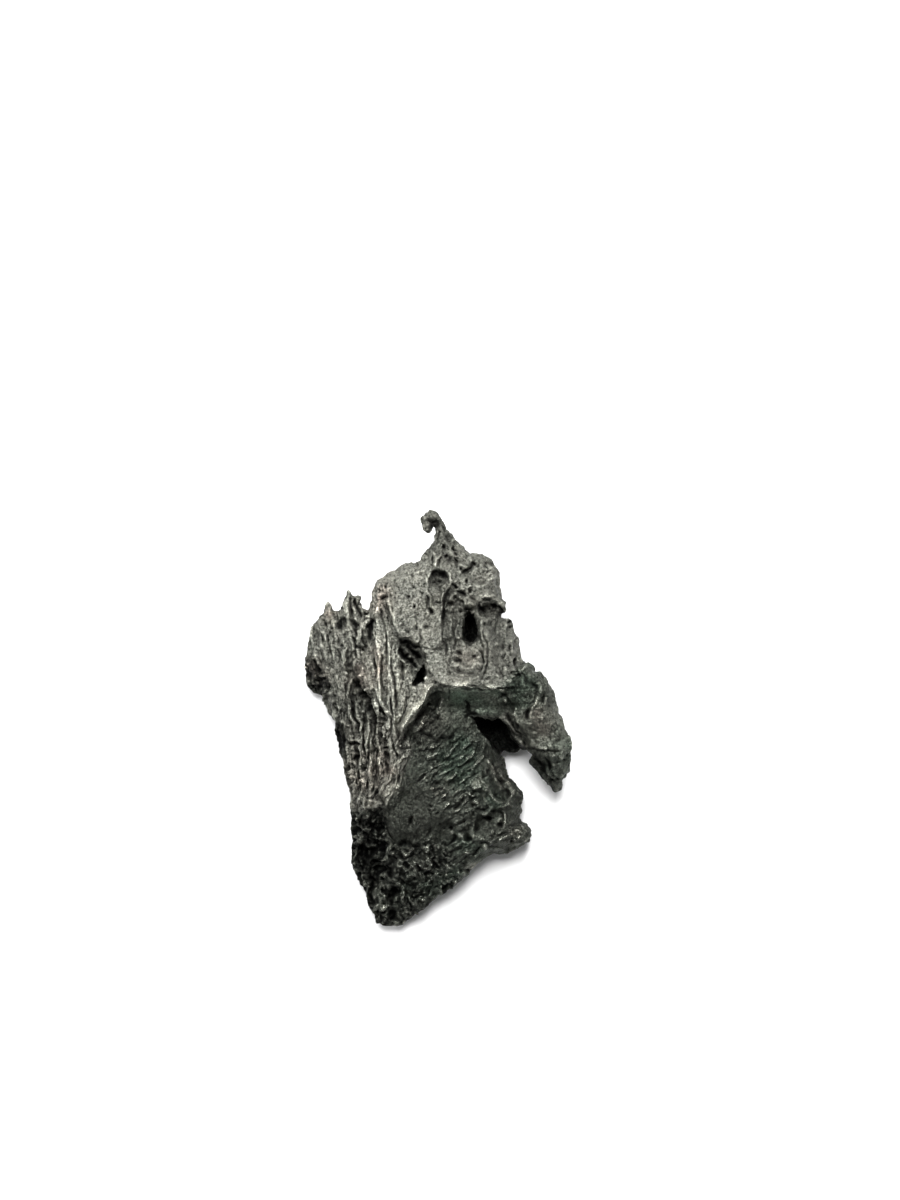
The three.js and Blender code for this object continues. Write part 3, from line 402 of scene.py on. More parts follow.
    (0.25, 0.22, ((18.6, 13.8), (18.3, 13.2), (17.9, 12.7))),
    (0.22, 0.1, ((18, 16.4), (17.6, 15.2), (17.5, 14))),
    (0.22, -0.07, ((14.8, 20), (14.7, 18.4), (14.6, 16.8))),
    (0.22, -0.07, ((16.9, 19.2), (16.8, 17.6), (16.7, 16))),
    (0.25, 0.11, ((17.2, 16.4), (17.8, 17), (18, 17.4))),
    # lower right: bright tangle beside the ripples
    (0.3, 0.38, ((24.2, 22.8), (24.7, 23.2), (25.2, 23.8), (25.4, 24.4))),
    (0.28, -0.35, ((24.2, 23.2), (24.6, 23.6))),
    (0.35, 0.38, ((25.3, 22.3), (25.8, 21.6), (26.3, 21), (26.5, 20.4), (26.3, 19.8))),
    (0.3, -0.4, ((24.1, 21.5), (24.8, 21.8), (25.3, 21.6))),
    (0.28, 0.32, ((24.3, 21.6), (24.9, 22), (25.2, 22))),
    (0.28, -0.38, ((24.3, 21.9), (24.9, 22.3), (25.4, 22.4))),
    (0.4, -0.35, ((24.2, 20), (25, 19.9), (25.7, 19.6), (25.75, 18.9), (25.6, 18.2))),
    (0.4, 0.45, ((25.95, 19.5), (25.95, 18.8), (26.2, 18.1))),
    (0.3, -0.35, ((24, 19), (24.8, 19), (25.4, 18.9))),
    (0.3, -0.35, ((24.25, 18.9), (24.2, 18.2), (24.7, 17.9))),
    (0.3, 0.25, ((23.5, 19.9), (24, 19.5), (24.6, 19.3))),
    (0.32, -0.4, ((24.9, 17.3), (25.8, 17.2), (26.7, 17.3))),
    # sweeps towards the ring pit
    (0.45, 0.42, ((26.6, 24.6), (26.9, 23.4), (27.4, 22.2), (27.8, 21.2))),
    (0.35, -0.42, ((27.2, 24.4), (27.5, 23), (28.2, 21.8), (28.8, 20.9))),
    (0.4, 0.42, ((28, 23.4), (28.5, 22.2), (29.2, 21.2), (29.9, 20.4))),
    (0.4, 0.35, ((27, 19.8), (27.4, 19), (28.2, 18.4), (29, 18.2))),
    (0.28, -0.3, ((27.6, 19.9), (28, 19.2), (28.6, 18.8), (29.2, 18.7))),
    (0.32, 0.42, ((30.3, 20.1), (30.15, 19.3), (29.95, 18.6), (29.6, 18), (29, 17.6),
        (28.2, 17.4))),
    (0.45, -0.55, ((28.8, 20), (29.4, 19.7), (29.7, 19.2), (29.75, 18.7))),
    # second ring and its pits
    (0.3, 0.45, ((28.9, 16.9), (29.05, 16.2), (29, 15.5), (28.7, 14.7))),
    (0.35, -0.5, ((28, 16.9), (28.6, 16.5), (28.75, 15.9))),
    (0.32, 0.28, ((27.6, 15.6), (28, 15.95), (28.4, 16))),
    (0.35, -0.5, ((25.9, 15.9), (26.6, 15.8), (27.1, 15.7))),
    (0.3, 0.25, ((26, 16.3), (26.5, 16.8), (26.6, 17))),
    (0.25, 0.2, ((24.85, 16.1), (24.8, 15.2), (24.6, 14.3))),
    (0.28, -0.35, ((25.5, 14.9), (25.2, 14.4), (25, 14))),
    (0.3, 0.25, ((25.4, 14), (25.7, 14.5), (26.4, 14.8))),
    (0.3, 0.28, ((23.1, 12.5), (23.8, 12.35), (24.3, 12.8), (24.6, 13.5))),
    # ribs that run out to the lobe
    (0.28, 0.35, ((26.7, 12.6), (27.4, 12.9), (28, 13.3))),
    (0.28, -0.38, ((27.5, 13.2), (28.3, 13.5), (29.1, 13.8), (29.8, 14.1))),
    (0.28, 0.35, ((28.2, 12.75), (28.9, 13.2), (29.6, 13.6))),
    (0.25, -0.28, ((28.4, 12.5), (29.2, 12.95), (29.9, 13.2))),
    (0.35, 0.28, ((30, 14.6), (30.9, 14.7), (31.7, 14.4), (32.3, 13.8))),
    (0.3, -0.3, ((29.6, 15), (30.6, 15.1), (31.6, 14.8))),
    (0.3, 0.22, ((31.8, 13.6), (32.1, 12.9), (31.9, 12.3))),
    (0.3, -0.45, ((25.45, 11.75), (25.1, 11.2), (24.8, 10.7), (24.45, 10.4))),
    (0.28, 0.22, ((25.5, 11.2), (24.9, 10.4), (24.4, 9.9))),
    (0.25, -0.5, ((25.6, 12.15), (25.8, 12.45), (26.15, 12.5), (26.55, 12.2))),
    # slits and ribs of the lower middle
    (0.32, -0.5, ((20.2, 12.2), (20.6, 12.7))),
    (0.35, -0.55, ((20.9, 12), (21.3, 12.5), (21.7, 12.9), (21.9, 13.6))),
    (0.3, 0.32, ((20.7, 11.5), (21.1, 12), (21.7, 12.5), (22.3, 12.9))),
    (0.28, -0.32, ((19.95, 11.4), (19.9, 10.5))),
    (0.28, -0.32, ((20.5, 11.4), (20.5, 10.6))),
    (0.28, -0.3, ((18.8, 10), (19.8, 10.1), (20, 9.4))),
    (0.28, -0.4, ((18.55, 11.3), (18.75, 10.4))),
    (0.3, -0.35, ((21, 6.8), (21.6, 7.4))),
    (0.25, 0.28, ((21.2, 6.6), (22, 7.2))),
    (0.28, 0.3, ((19.4, 6.4), (19.8, 6.9), (20.2, 6.4), (20.6, 6.9))),
    (0.25, -0.38, ((19.6, 6), (19.75, 6.5))),
    (0.28, -0.25, ((20.3, 5.6), (20.7, 6.4), (20.9, 7.4))),
    (0.25, 0.22, ((22.6, 8.4), (23.3, 9.2), (24, 9.8))),
    (0.25, -0.25, ((22.6, 9.3), (23.2, 9.9), (23.5, 10.4))),
    # foot: side facet and the slashes on it
    (0.35, 0.4, ((8.15, 10.5), (7.9, 9.8), (7.65, 9.1))),
    (0.3, 0.35, ((7.6, 13.5), (7.7, 12.7))),
    (0.3, 0.38, ((8.2, 16.1), (8.6, 17))),
    (0.3, 0.35, ((10.3, 16.1), (10.9, 16.9))),
    (0.28, 0.32, ((11.15, 16.7), (11.4, 17.4))),
    (0.6, -0.6, ((8.7, 16.2), (8.6, 14.6), (8.5, 13))),
    (0.9, -0.7, ((9.2, 12.4), (9.1, 11), (9, 9.6))),
    (0.8, -0.65, ((9.6, 8.6), (9.6, 7), (9.7, 5.4), (9.7, 4))),
    (0.6, -0.55, ((10.4, 9.6), (11.4, 9.6))),
    (0.7, -0.55, ((10.6, 8.4), (11.8, 8.5), (12.9, 8.2))),
    (0.35, -0.45, ((11.9, 15.4), (12, 14.2), (12.4, 13.2), (13.2, 12.6))),
    # the folded ring beside the smooth patch
    (0.4, -0.55, ((14.4, 12.4), (14.9, 12.55), (15.3, 12.2))),
    (0.35, -0.45, ((15.5, 12.6), (15.8, 12.2), (16, 11.8))),
    (0.35, 0.35, ((15.2, 11.4), (15.4, 12), (15.3, 12.5))),
    (0.3, -0.32, ((12.9, 10.65), (13.5, 10.6), (14, 10.9))),
    (0.32, 0.38, ((13.1, 10.1), (13.5, 10.2), (13.9, 10.6))),
    (0.35, -0.45, ((12.9, 9.4), (13.7, 9.55), (14.4, 9.9), (15, 10.5), (15.2, 11.1))),
    (0.3, 0.3, ((13.4, 9.1), (14.2, 9.35), (14.8, 9.6))),
    (0.28, 0.28, ((12.6, 11), (13.2, 11.2), (13.8, 11.5))),
    # the flap and the hollows round it
    (0.35, 0.45, ((10.3, 5.5), (10.8, 6.05), (11.4, 5.8), (12.2, 5.7), (13.1, 5.9))),
    (0.3, 0.3, ((10.9, 6.9), (11.2, 7.35), (11.7, 7.2))),
    (0.3, -0.35, ((11.2, 6.4), (11.9, 6.6), (12.6, 6.4))),
    (0.3, -0.35, ((12.3, 7.4), (12.3, 6.7))),
    (0.8, -0.6, ((12.6, 5.2), (12.8, 4.3), (13, 3.4))),
    (0.9, -0.65, ((13.3, 2.5), (13.1, 1.6), (12.7, 1))),
    (0.4, -0.4, ((11.1, 2.2), (11.6, 2.6), (12.1, 2.2))),
    (0.5, -0.5, ((14, 7.3), (14.8, 6.7), (15.5, 6.5), (15.6, 5.7))),
    (0.5, -0.5, ((14.6, 5.7), (15.1, 4.6), (15.3, 3.5), (15.1, 2.3))),
    (0.35, 0.32, ((13.9, 6.2), (14.1, 5), (14.2, 3.8), (14, 2.6))),
    (0.35, 0.28, ((16, 5.2), (15.9, 4), (16, 2.8))),
    (0.4, -0.5, ((16.1, 4.1), (16.5, 4.9), (17, 5.6), (17.4, 6.4))),
    (0.3, 0.3, ((16.1, 7.1), (16.5, 7.8), (16.8, 8.4))),
    (0.35, -0.42, ((16.2, 8.2), (16.7, 8.65), (17.1, 8.1))),
    (0.35, -0.4, ((14.9, 9.2), (15.2, 8.6), (15.5, 8.2))),
    (0.3, -0.35, ((11.7, 1.9), (12, 1.1), (12.4, 0.5))),
    (0.3, -0.35, ((14.6, 3.4), (14.3, 2.2), (14.6, 1.2))),
    # hook
    (0.25, 0.35, ((30.1, 36.6), (31, 37.05), (31.6, 37.5), (32.3, 38))),
    (0.35, -0.6, ((30.5, 36.45), (30.2, 36.1), (30.2, 35.7))),
    (0.28, -0.38, ((30.75, 35.9), (30.95, 35.3))),
    (0.28, 0.25, ((30.45, 35.9), (30.4, 35.1))),
    (0.28, -0.4, ((31.6, 36.8), (31.7, 36.3), (31.9, 35.8), (31.8, 35.3))),
    (0.4, -0.45, ((32.1, 35.7), (32.8, 35.5), (33.35, 35), (33.6, 34.4), (33.5, 33.7), (33.2, 33))),
    (0.3, 0.25, ((33.6, 35.7), (34, 35), (34.1, 34))),
    (0.3, -0.5, ((34.65, 33.7), (34.45, 33.2), (34.3, 32.6))),
    (0.28, 0.3, ((34.95, 33.5), (34.75, 32.9), (34.5, 32.3))),
    (0.4, -0.75, ((32.3, 31.8), (32.15, 31.2), (32.2, 30.6), (32.35, 30.1))),
    (0.28, 0.35, ((33.6, 33.7), (33.5, 32.9), (33.2, 32.3), (32.8, 31.9), (32.55, 31.4),
        (32.5, 30.9), (32.65, 30.3), (32.4, 29.8))),
    (0.3, -0.3, ((32.3, 32.4), (32.9, 32.6), (33.1, 33.2))),
    (0.35, 0.16, ((34.5, 31.4), (34.4, 30.6), (34.1, 29.8))),
    (0.35, -0.16, ((34, 31.8), (34.1, 31.2))),
    (0.35, -0.14, ((33, 29.4), (33.4, 28.4), (34.2, 27.6))),
    # the crossing creases at its root
    (0.3, -0.4, ((28, 33), (28.6, 33.6), (29.1, 33.8))),
    (0.3, -0.4, ((28.1, 34), (28.8, 33.5), (29.5, 33), (29.9, 32.3))),
    (0.28, 0.28, ((29.1, 33.7), (29.5, 33.3), (29.75, 32.9))),
    (0.3, -0.25, ((28.4, 32.3), (29, 32.2), (29.6, 32.3))),
    # the crease down its inner side
    (0.35, -0.5, ((29.6, 31.1), (29.7, 30.5), (30, 30), (30.3, 29.4), (31, 28.5))),
    (0.3, -0.35, ((29.3, 30), (29.8, 29.2), (30.3, 28.4), (30.9, 27.8))),
    (0.28, 0.25, ((29.5, 30), (30, 29.3), (30.6, 28.5), (31.2, 28))),
    (0.3, 0.2, ((30.4, 32.2), (30.4, 31.4), (30.6, 30.6), (30.9, 29.6))),
    (0.25, 0.22, ((31, 27.2), (31.4, 26.6), (32, 26.3))),
    # the break across its lower half
    (0.35, -0.4, ((32.4, 26.2), (33.2, 25.9), (34, 25.8), (34.8, 25.5), (35.6, 25.5), (36.6, 25.6),
        (37.2, 25.4))),
    (0.35, 0.28, ((33.6, 26.3), (34.6, 26.1), (35.2, 26))),
    (0.35, -0.45, ((34.7, 24.8), (35.05, 24.3), (35.3, 23.6), (35.4, 23.1))),
    (0.28, -0.25, ((36.2, 24.2), (37, 24.1), (37.9, 24.3))),
    (0.35, 0.22, ((36.2, 24.9), (37, 24.6), (37.8, 24.9))),
    (0.4, 0.32, ((34.9, 23.3), (35.1, 22.4))),
    (0.4, -0.5, ((34.1, 23), (34.3, 22.3), (34.8, 21.9))),
    (0.35, -0.4, ((35.4, 21.2), (36, 21))),
    (0.3, -0.4, ((36.4, 21.6), (36.8, 21.2))),
    (0.35, 0.22, ((35.5, 22.2), (36.1, 22.6), (36.8, 22.2))),
    (0.35, -0.4, ((33, 24.6), (33.5, 24), (34, 23.8))),
)

# Pits: (x, y, half width, half length, depth), then its lean in degrees where it leans.
# A depth below zero is a bump.

PITS = (
    # plate
    (19.8, 56.9, 0.22, 0.22, 0.3), (20.35, 54.8, 0.28, 0.32, 0.4), (21.7, 54.65, 0.3, 0.26, 0.42),
    (20.4, 53.5, 0.24, 0.22, 0.42), (20.9, 53, 0.4, 0.45, 0.2), (21.9, 53.9, 0.2, 0.25, 0.25),
    (22.75, 51.65, 0.28, 0.25, 0.42), (24.7, 52.45, 0.24, 0.22, 0.34), (26.5, 52.4, 0.2, 0.18, 0.3),
    (23.6, 50.3, 0.18, 0.34, 0.34), (24.3, 49.5, 0.18, 0.15, 0.25), (23.9, 48.5, 0.2, 0.2, 0.34),
    (21.8, 49.1, 0.24, 0.2, 0.32), (19.45, 50.1, 1.15, 1.05, 0.42), (19.5, 50.75, 0.75, 0.35, 0.3),
    (19.4, 49.8, 0.28, 0.28, 0.22), (15.9, 49.2, 0.2, 0.22, 0.28), (15.4, 47.75, 0.24, 0.22, 0.34),
    (17.3, 48.2, 0.2, 0.2, 0.28), (16.2, 46.25, 0.24, 0.18, 0.3), (18.4, 45.6, 0.2, 0.34, 0.35),
    (17.7, 43.5, 0.34, 0.34, 0.2), (15.4, 43.8, 0.45, 0.4, 0.14), (12.6, 47.8, 0.2, 0.28, 0.24),
    (22.4, 38.6, 0.5, 0.38, 0.36), (22.3, 39.6, 0.34, 0.22, 0.22), (22.8, 45.5, 0.28, 0.2, 0.24),
    (24.6, 39.3, 0.24, 0.16, 0.28), (30.8, 38.7, 0.3, 0.46, 0.45), (30, 43.6, 0.2, 0.24, 0.3),
    (22.9, 46.9, 0.22, 0.22, 0.24), (21.3, 46.7, 0.24, 0.18, 0.2), (18.5, 39.6, 0.24, 0.14, 0.2),
    (24.1, 46.75, 0.52, 0.5, -0.45), (24.3, 45.7, 0.42, 0.26, -0.25), (24.5, 38.5, 0.8, 0.6, -0.2),
    (23.4, 47.4, 0.3, 0.26, -0.22),
    # lobe and band
    (5.5, 43.85, 0.65, 0.95, 0.5), (7.6, 47, 0.3, 0.45, 0.6, -15), (9, 45.6, 0.28, 0.28, 0.38),
    (9.2, 42.6, 0.18, 0.26, 0.38, -30), (4.1, 43.1, 0.22, 0.2, 0.3), (1.2, 44, 0.2, 0.18, 0.25),
    (2.3, 43.2, 0.2, 0.18, 0.25), (5.5, 40.6, 0.26, 0.26, 0.28), (5.6, 38.7, 0.18, 0.18, 0.28),
    (7.35, 39.6, 0.22, 0.2, 0.28), (7.8, 39.3, 0.18, 0.22, 0.24), (0.95, 39.3, 0.35, 0.45, 0.45),
    (1.4, 38.2, 0.25, 0.4, 0.35), (10.85, 48.45, 0.18, 0.28, 0.34), (11.9, 49.1, 0.18, 0.3, 0.3),
    (7.7, 34.9, 0.28, 0.24, 0.3), (10.25, 34.35, 0.24, 0.18, 0.34), (4.8, 32.3, 0.2, 0.18, 0.28),
    (9.55, 29.9, 0.28, 0.22, 0.34), (8.4, 30.1, 0.26, 0.2, 0.3), (12.1, 26.25, 0.3, 0.14, 0.34),
    (12.4, 28.7, 0.22, 0.16, 0.28, -30), (6.3, 25.15, 0.18, 0.16, 0.24),
    (5.4, 31.2, 0.16, 0.3, 0.2), (8.3, 36.4, 0.22, 0.36, -0.38, 10), (6.1, 36.6, 0.22, 0.2, -0.32),
    (11.4, 30.8, 0.55, 0.45, -0.22), (2.4, 40.5, 0.3, 0.26, -0.22), (8, 42.6, 0.4, 0.35, -0.22),
    (10.2, 35, 0.7, 0.5, -0.2),
    # bright grains down the fibres
    (6.7, 22.2, 0.26, 0.24, -0.32), (6.8, 21.5, 0.22, 0.24, -0.3),
    (7.8, 22.2, 0.2, 0.4, -0.34, -10), (7.75, 21.6, 0.2, 0.24, -0.25),
    (8.75, 21.4, 0.2, 0.34, -0.34), (8.9, 22.4, 0.18, 0.28, -0.25), (7.6, 18, 0.22, 0.28, -0.34),
    (8.55, 19.3, 0.16, 0.16, 0.3), (9.6, 18.4, 0.36, 0.36, -0.35), (9.5, 17.6, 0.5, 0.3, -0.35),
    (10.5, 17.9, 0.3, 0.24, -0.3), (11, 18.45, 0.22, 0.16, -0.25),
    # crevice under the plate's left lip
    (15.3, 40.75, 0.34, 0.28, 0.55), (15, 40, 0.36, 0.3, -0.34), (15.9, 40.3, 0.22, 0.22, -0.2),
    (15.3, 39.2, 0.3, 0.24, -0.25), (16.2, 38.5, 0.36, 0.36, -0.34), (14.7, 38.4, 0.3, 0.4, -0.25),
    (14.9, 39.4, 0.34, 0.16, 0.4, -30), (15.6, 38.2, 0.22, 0.26, 0.45, 30),
    (15, 37.6, 0.16, 0.14, 0.32), (16.2, 37.8, 0.4, 0.14, 0.42), (14, 39.8, 0.18, 0.5, 0.34, 10),
    # hollow and ripples
    (18.15, 32.35, 0.28, 0.24, 0.42), (18.5, 31.8, 0.28, 0.22, -0.25),
    (18.8, 31.4, 0.18, 0.15, 0.28), (19.5, 30.4, 0.22, 0.38, 0.4), (19.2, 34.9, 0.34, 0.28, -0.25),
    (19.6, 26.5, 0.2, 0.15, 0.4), (20, 26.4, 0.18, 0.18, -0.32), (16.3, 27.3, 0.2, 0.22, 0.32),
    (17.1, 27.9, 0.24, 0.16, 0.3), (24.15, 25, 0.24, 0.16, 0.34, 20),
    (24.5, 24.6, 0.34, 0.3, -0.35), (18.85, 22, 0.2, 0.18, 0.4), (18.4, 18.1, 0.22, 0.16, 0.42),
    (18.5, 17.75, 0.24, 0.22, -0.36), (18.05, 17.5, 0.2, 0.16, 0.34),
    (19.35, 16.95, 0.2, 0.18, 0.42), (18.8, 16.85, 0.15, 0.12, 0.25), (15.7, 15.7, 0.2, 0.55, 0.5),
    (13.1, 15.5, 0.24, 0.3, 0.16, 20), (16.3, 19, 0.14, 0.18, 0.22), (21.3, 14.6, 0.35, 0.25, 0.45),
    (20.2, 14.5, 0.22, 0.22, 0.34), (23.2, 15.5, 0.18, 0.24, 0.32), (24.5, 16.6, 0.24, 0.32, 0.45),
    (23.2, 19.6, 0.22, 0.22, 0.28),
    # lower right
    (26.5, 22.65, 0.2, 0.3, 0.38), (24.9, 20.8, 0.75, 0.42, -0.45, 10),
    (25.65, 20.55, 0.26, 0.24, -0.35), (24.8, 18.45, 0.45, 0.34, -0.35),
    (27.4, 21.6, 0.35, 0.25, 0.18, -30), (28.8, 19.3, 0.9, 0.6, 0.45, 20),
    (27.3, 16.7, 0.36, 0.28, 0.6), (26.8, 15.85, 0.34, 0.28, 0.55), (28.2, 15.1, 0.36, 0.34, 0.65),
    (26.1, 16.5, 0.4, 0.34, -0.28), (27.1, 14.2, 0.24, 0.34, -0.34),
    (27.5, 14.9, 0.28, 0.18, -0.28), (27.4, 13.9, 0.2, 0.3, 0.36), (26.05, 11.9, 0.34, 0.36, -0.55),
    (23.5, 10.8, 0.24, 0.32, -0.35, 20), (23.65, 13.1, 0.42, 0.6, 0.5),
    (22.6, 13.3, 0.6, 0.55, -0.4, 30), (21.4, 14, 0.32, 0.26, -0.28), (21.5, 11.8, 0.45, 0.3, 0.28),
    (22.5, 11.6, 0.4, 0.26, 0.22), (30.2, 13.7, 0.3, 0.26, -0.36), (30.7, 14.2, 0.28, 0.22, -0.36),
    (31.25, 13.9, 0.24, 0.22, -0.36), (31.1, 13.2, 0.22, 0.24, -0.38),
    (30.5, 12.85, 0.24, 0.22, -0.32), (30.15, 12.35, 0.22, 0.28, 0.45),
    (30.1, 13.1, 0.2, 0.16, 0.36), (31, 13.55, 0.15, 0.14, 0.28), (30.7, 13.5, 0.16, 0.14, 0.28),
    (31.5, 12.4, 0.4, 0.3, 0.2), (20.25, 11, 0.22, 0.28, -0.25), (18.9, 11.1, 0.26, 0.22, -0.36),
    (18, 11.75, 0.22, 0.24, 0.45), (17.8, 7.65, 0.4, 0.46, 0.6), (18.3, 7.9, 0.2, 0.18, -0.28),
    (20.7, 7.8, 0.22, 0.18, -0.32), (21.8, 9.7, 0.24, 0.2, 0.34), (21.1, 9, 0.18, 0.16, 0.34),
    (22, 6.9, 0.22, 0.26, 0.36), (18.2, 5.2, 0.28, 0.34, 0.45), (18.3, 6.7, 0.18, 0.24, 0.34, -30),
    (23.3, 9.2, 0.18, 0.24, 0.24), (19, 8.6, 0.36, 0.24, 0.34, 30), (17.4, 10.9, 0.28, 0.22, 0.22),
    # foot
    (10.2, 15.2, 1.6, 1.9, 0.5), (9.2, 10.9, 0.8, 1.5, 0.8), (10.9, 9.7, 0.65, 0.45, 0.6),
    (9.8, 6.2, 0.45, 2.2, 0.7), (11.7, 8.4, 1.1, 0.45, 0.6), (12.75, 4.4, 0.45, 1, 0.8),
    (13.1, 1.8, 0.55, 0.8, 0.7), (11.5, 2.4, 0.45, 0.3, 0.5), (16.9, 8.6, 0.45, 0.35, 0.4),
    (14.9, 9.3, 0.35, 0.3, 0.45), (19.3, 9.6, 0.4, 0.35, 0.4), (20.6, 5.6, 0.35, 0.45, 0.4),
    (16.6, 11.3, 0.4, 0.35, 0.45), (19.6, 7.6, 0.35, 0.3, 0.4), (7.95, 15.6, 0.22, 0.38, -0.42),
    (9.35, 15.2, 0.28, 0.2, -0.38, -40), (8.7, 14.6, 0.26, 0.32, -0.38, -30),
    (9.95, 14.4, 0.24, 0.3, -0.36), (10.9, 13.4, 0.32, 0.34, -0.38, 20),
    (9.4, 16.5, 0.18, 0.18, -0.3), (10.5, 11.9, 0.36, 0.3, -0.38), (12.55, 11.75, 0.4, 0.34, -0.38),
    (7.65, 11.2, 0.22, 0.16, -0.34), (13.8, 11.3, 0.26, 0.22, -0.32, 30),
    (13.2, 10.1, 0.24, 0.18, -0.32), (15, 11.2, 0.18, 0.16, -0.3), (14.6, 11.9, 0.4, 0.4, 0.6),
    (15.35, 12, 0.22, 0.22, -0.3), (10.2, 13, 0.4, 0.4, 0.5), (9.2, 13.6, 0.3, 0.3, 0.45),
    (11.6, 13.9, 0.34, 0.5, 0.5), (10.6, 15.6, 0.45, 0.34, 0.5, 20), (11.3, 15.2, 0.24, 0.3, -0.2),
    (9.6, 11.6, 0.5, 0.6, 0.35), (8.9, 8.6, 0.26, 0.34, -0.25), (11.6, 12.2, 0.3, 0.5, 0.28, 20),
    (11.2, 3.9, 0.9, 1.5, -0.3), (13.05, 7.7, 0.22, 0.18, -0.3), (14.2, 7.7, 0.22, 0.22, -0.3),
    (15, 7.4, 0.22, 0.22, -0.3), (15.95, 6.1, 0.22, 0.26, -0.36), (16.1, 9.4, 0.22, 0.18, -0.36),
    (15.7, 9.1, 0.22, 0.2, -0.32), (17, 7.3, 0.26, 0.3, -0.26), (9.5, 3.4, 0.3, 0.24, -0.3),
    (8.1, 7.2, 0.26, 0.4, 0.4), (16.7, 3.5, 0.24, 0.4, 0.42), (14.5, 4.6, 0.3, 0.4, -0.22),
    # hook
    (31.8, 33.6, 0.24, 0.2, 0.3), (32.6, 33.5, 0.2, 0.24, 0.25), (31.5, 34.4, 0.24, 0.24, 0.22),
    (32, 34.8, 0.28, 0.2, 0.25), (28.35, 34.4, 0.35, 0.36, -0.32), (29.1, 32.9, 0.4, 0.34, -0.3),
    (30.3, 30.8, 0.28, 0.42, -0.36, -20), (32.9, 36.6, 0.55, 0.45, -0.2),
    (34.7, 34.6, 0.45, 0.6, -0.18, 20), (34.9, 25.75, 0.2, 0.15, -0.34),
    (34.2, 22.5, 0.3, 0.34, 0.45), (35, 21.9, 0.24, 0.2, 0.34), (33.1, 28.6, 0.34, 0.26, 0.14),
    (36.6, 27, 0.4, 0.4, 0.14), (35.5, 26.6, 0.3, 0.34, -0.16), (37.3, 22, 0.35, 0.4, -0.18),
    (35.3, 33, 0.3, 0.3, 0.16),
)
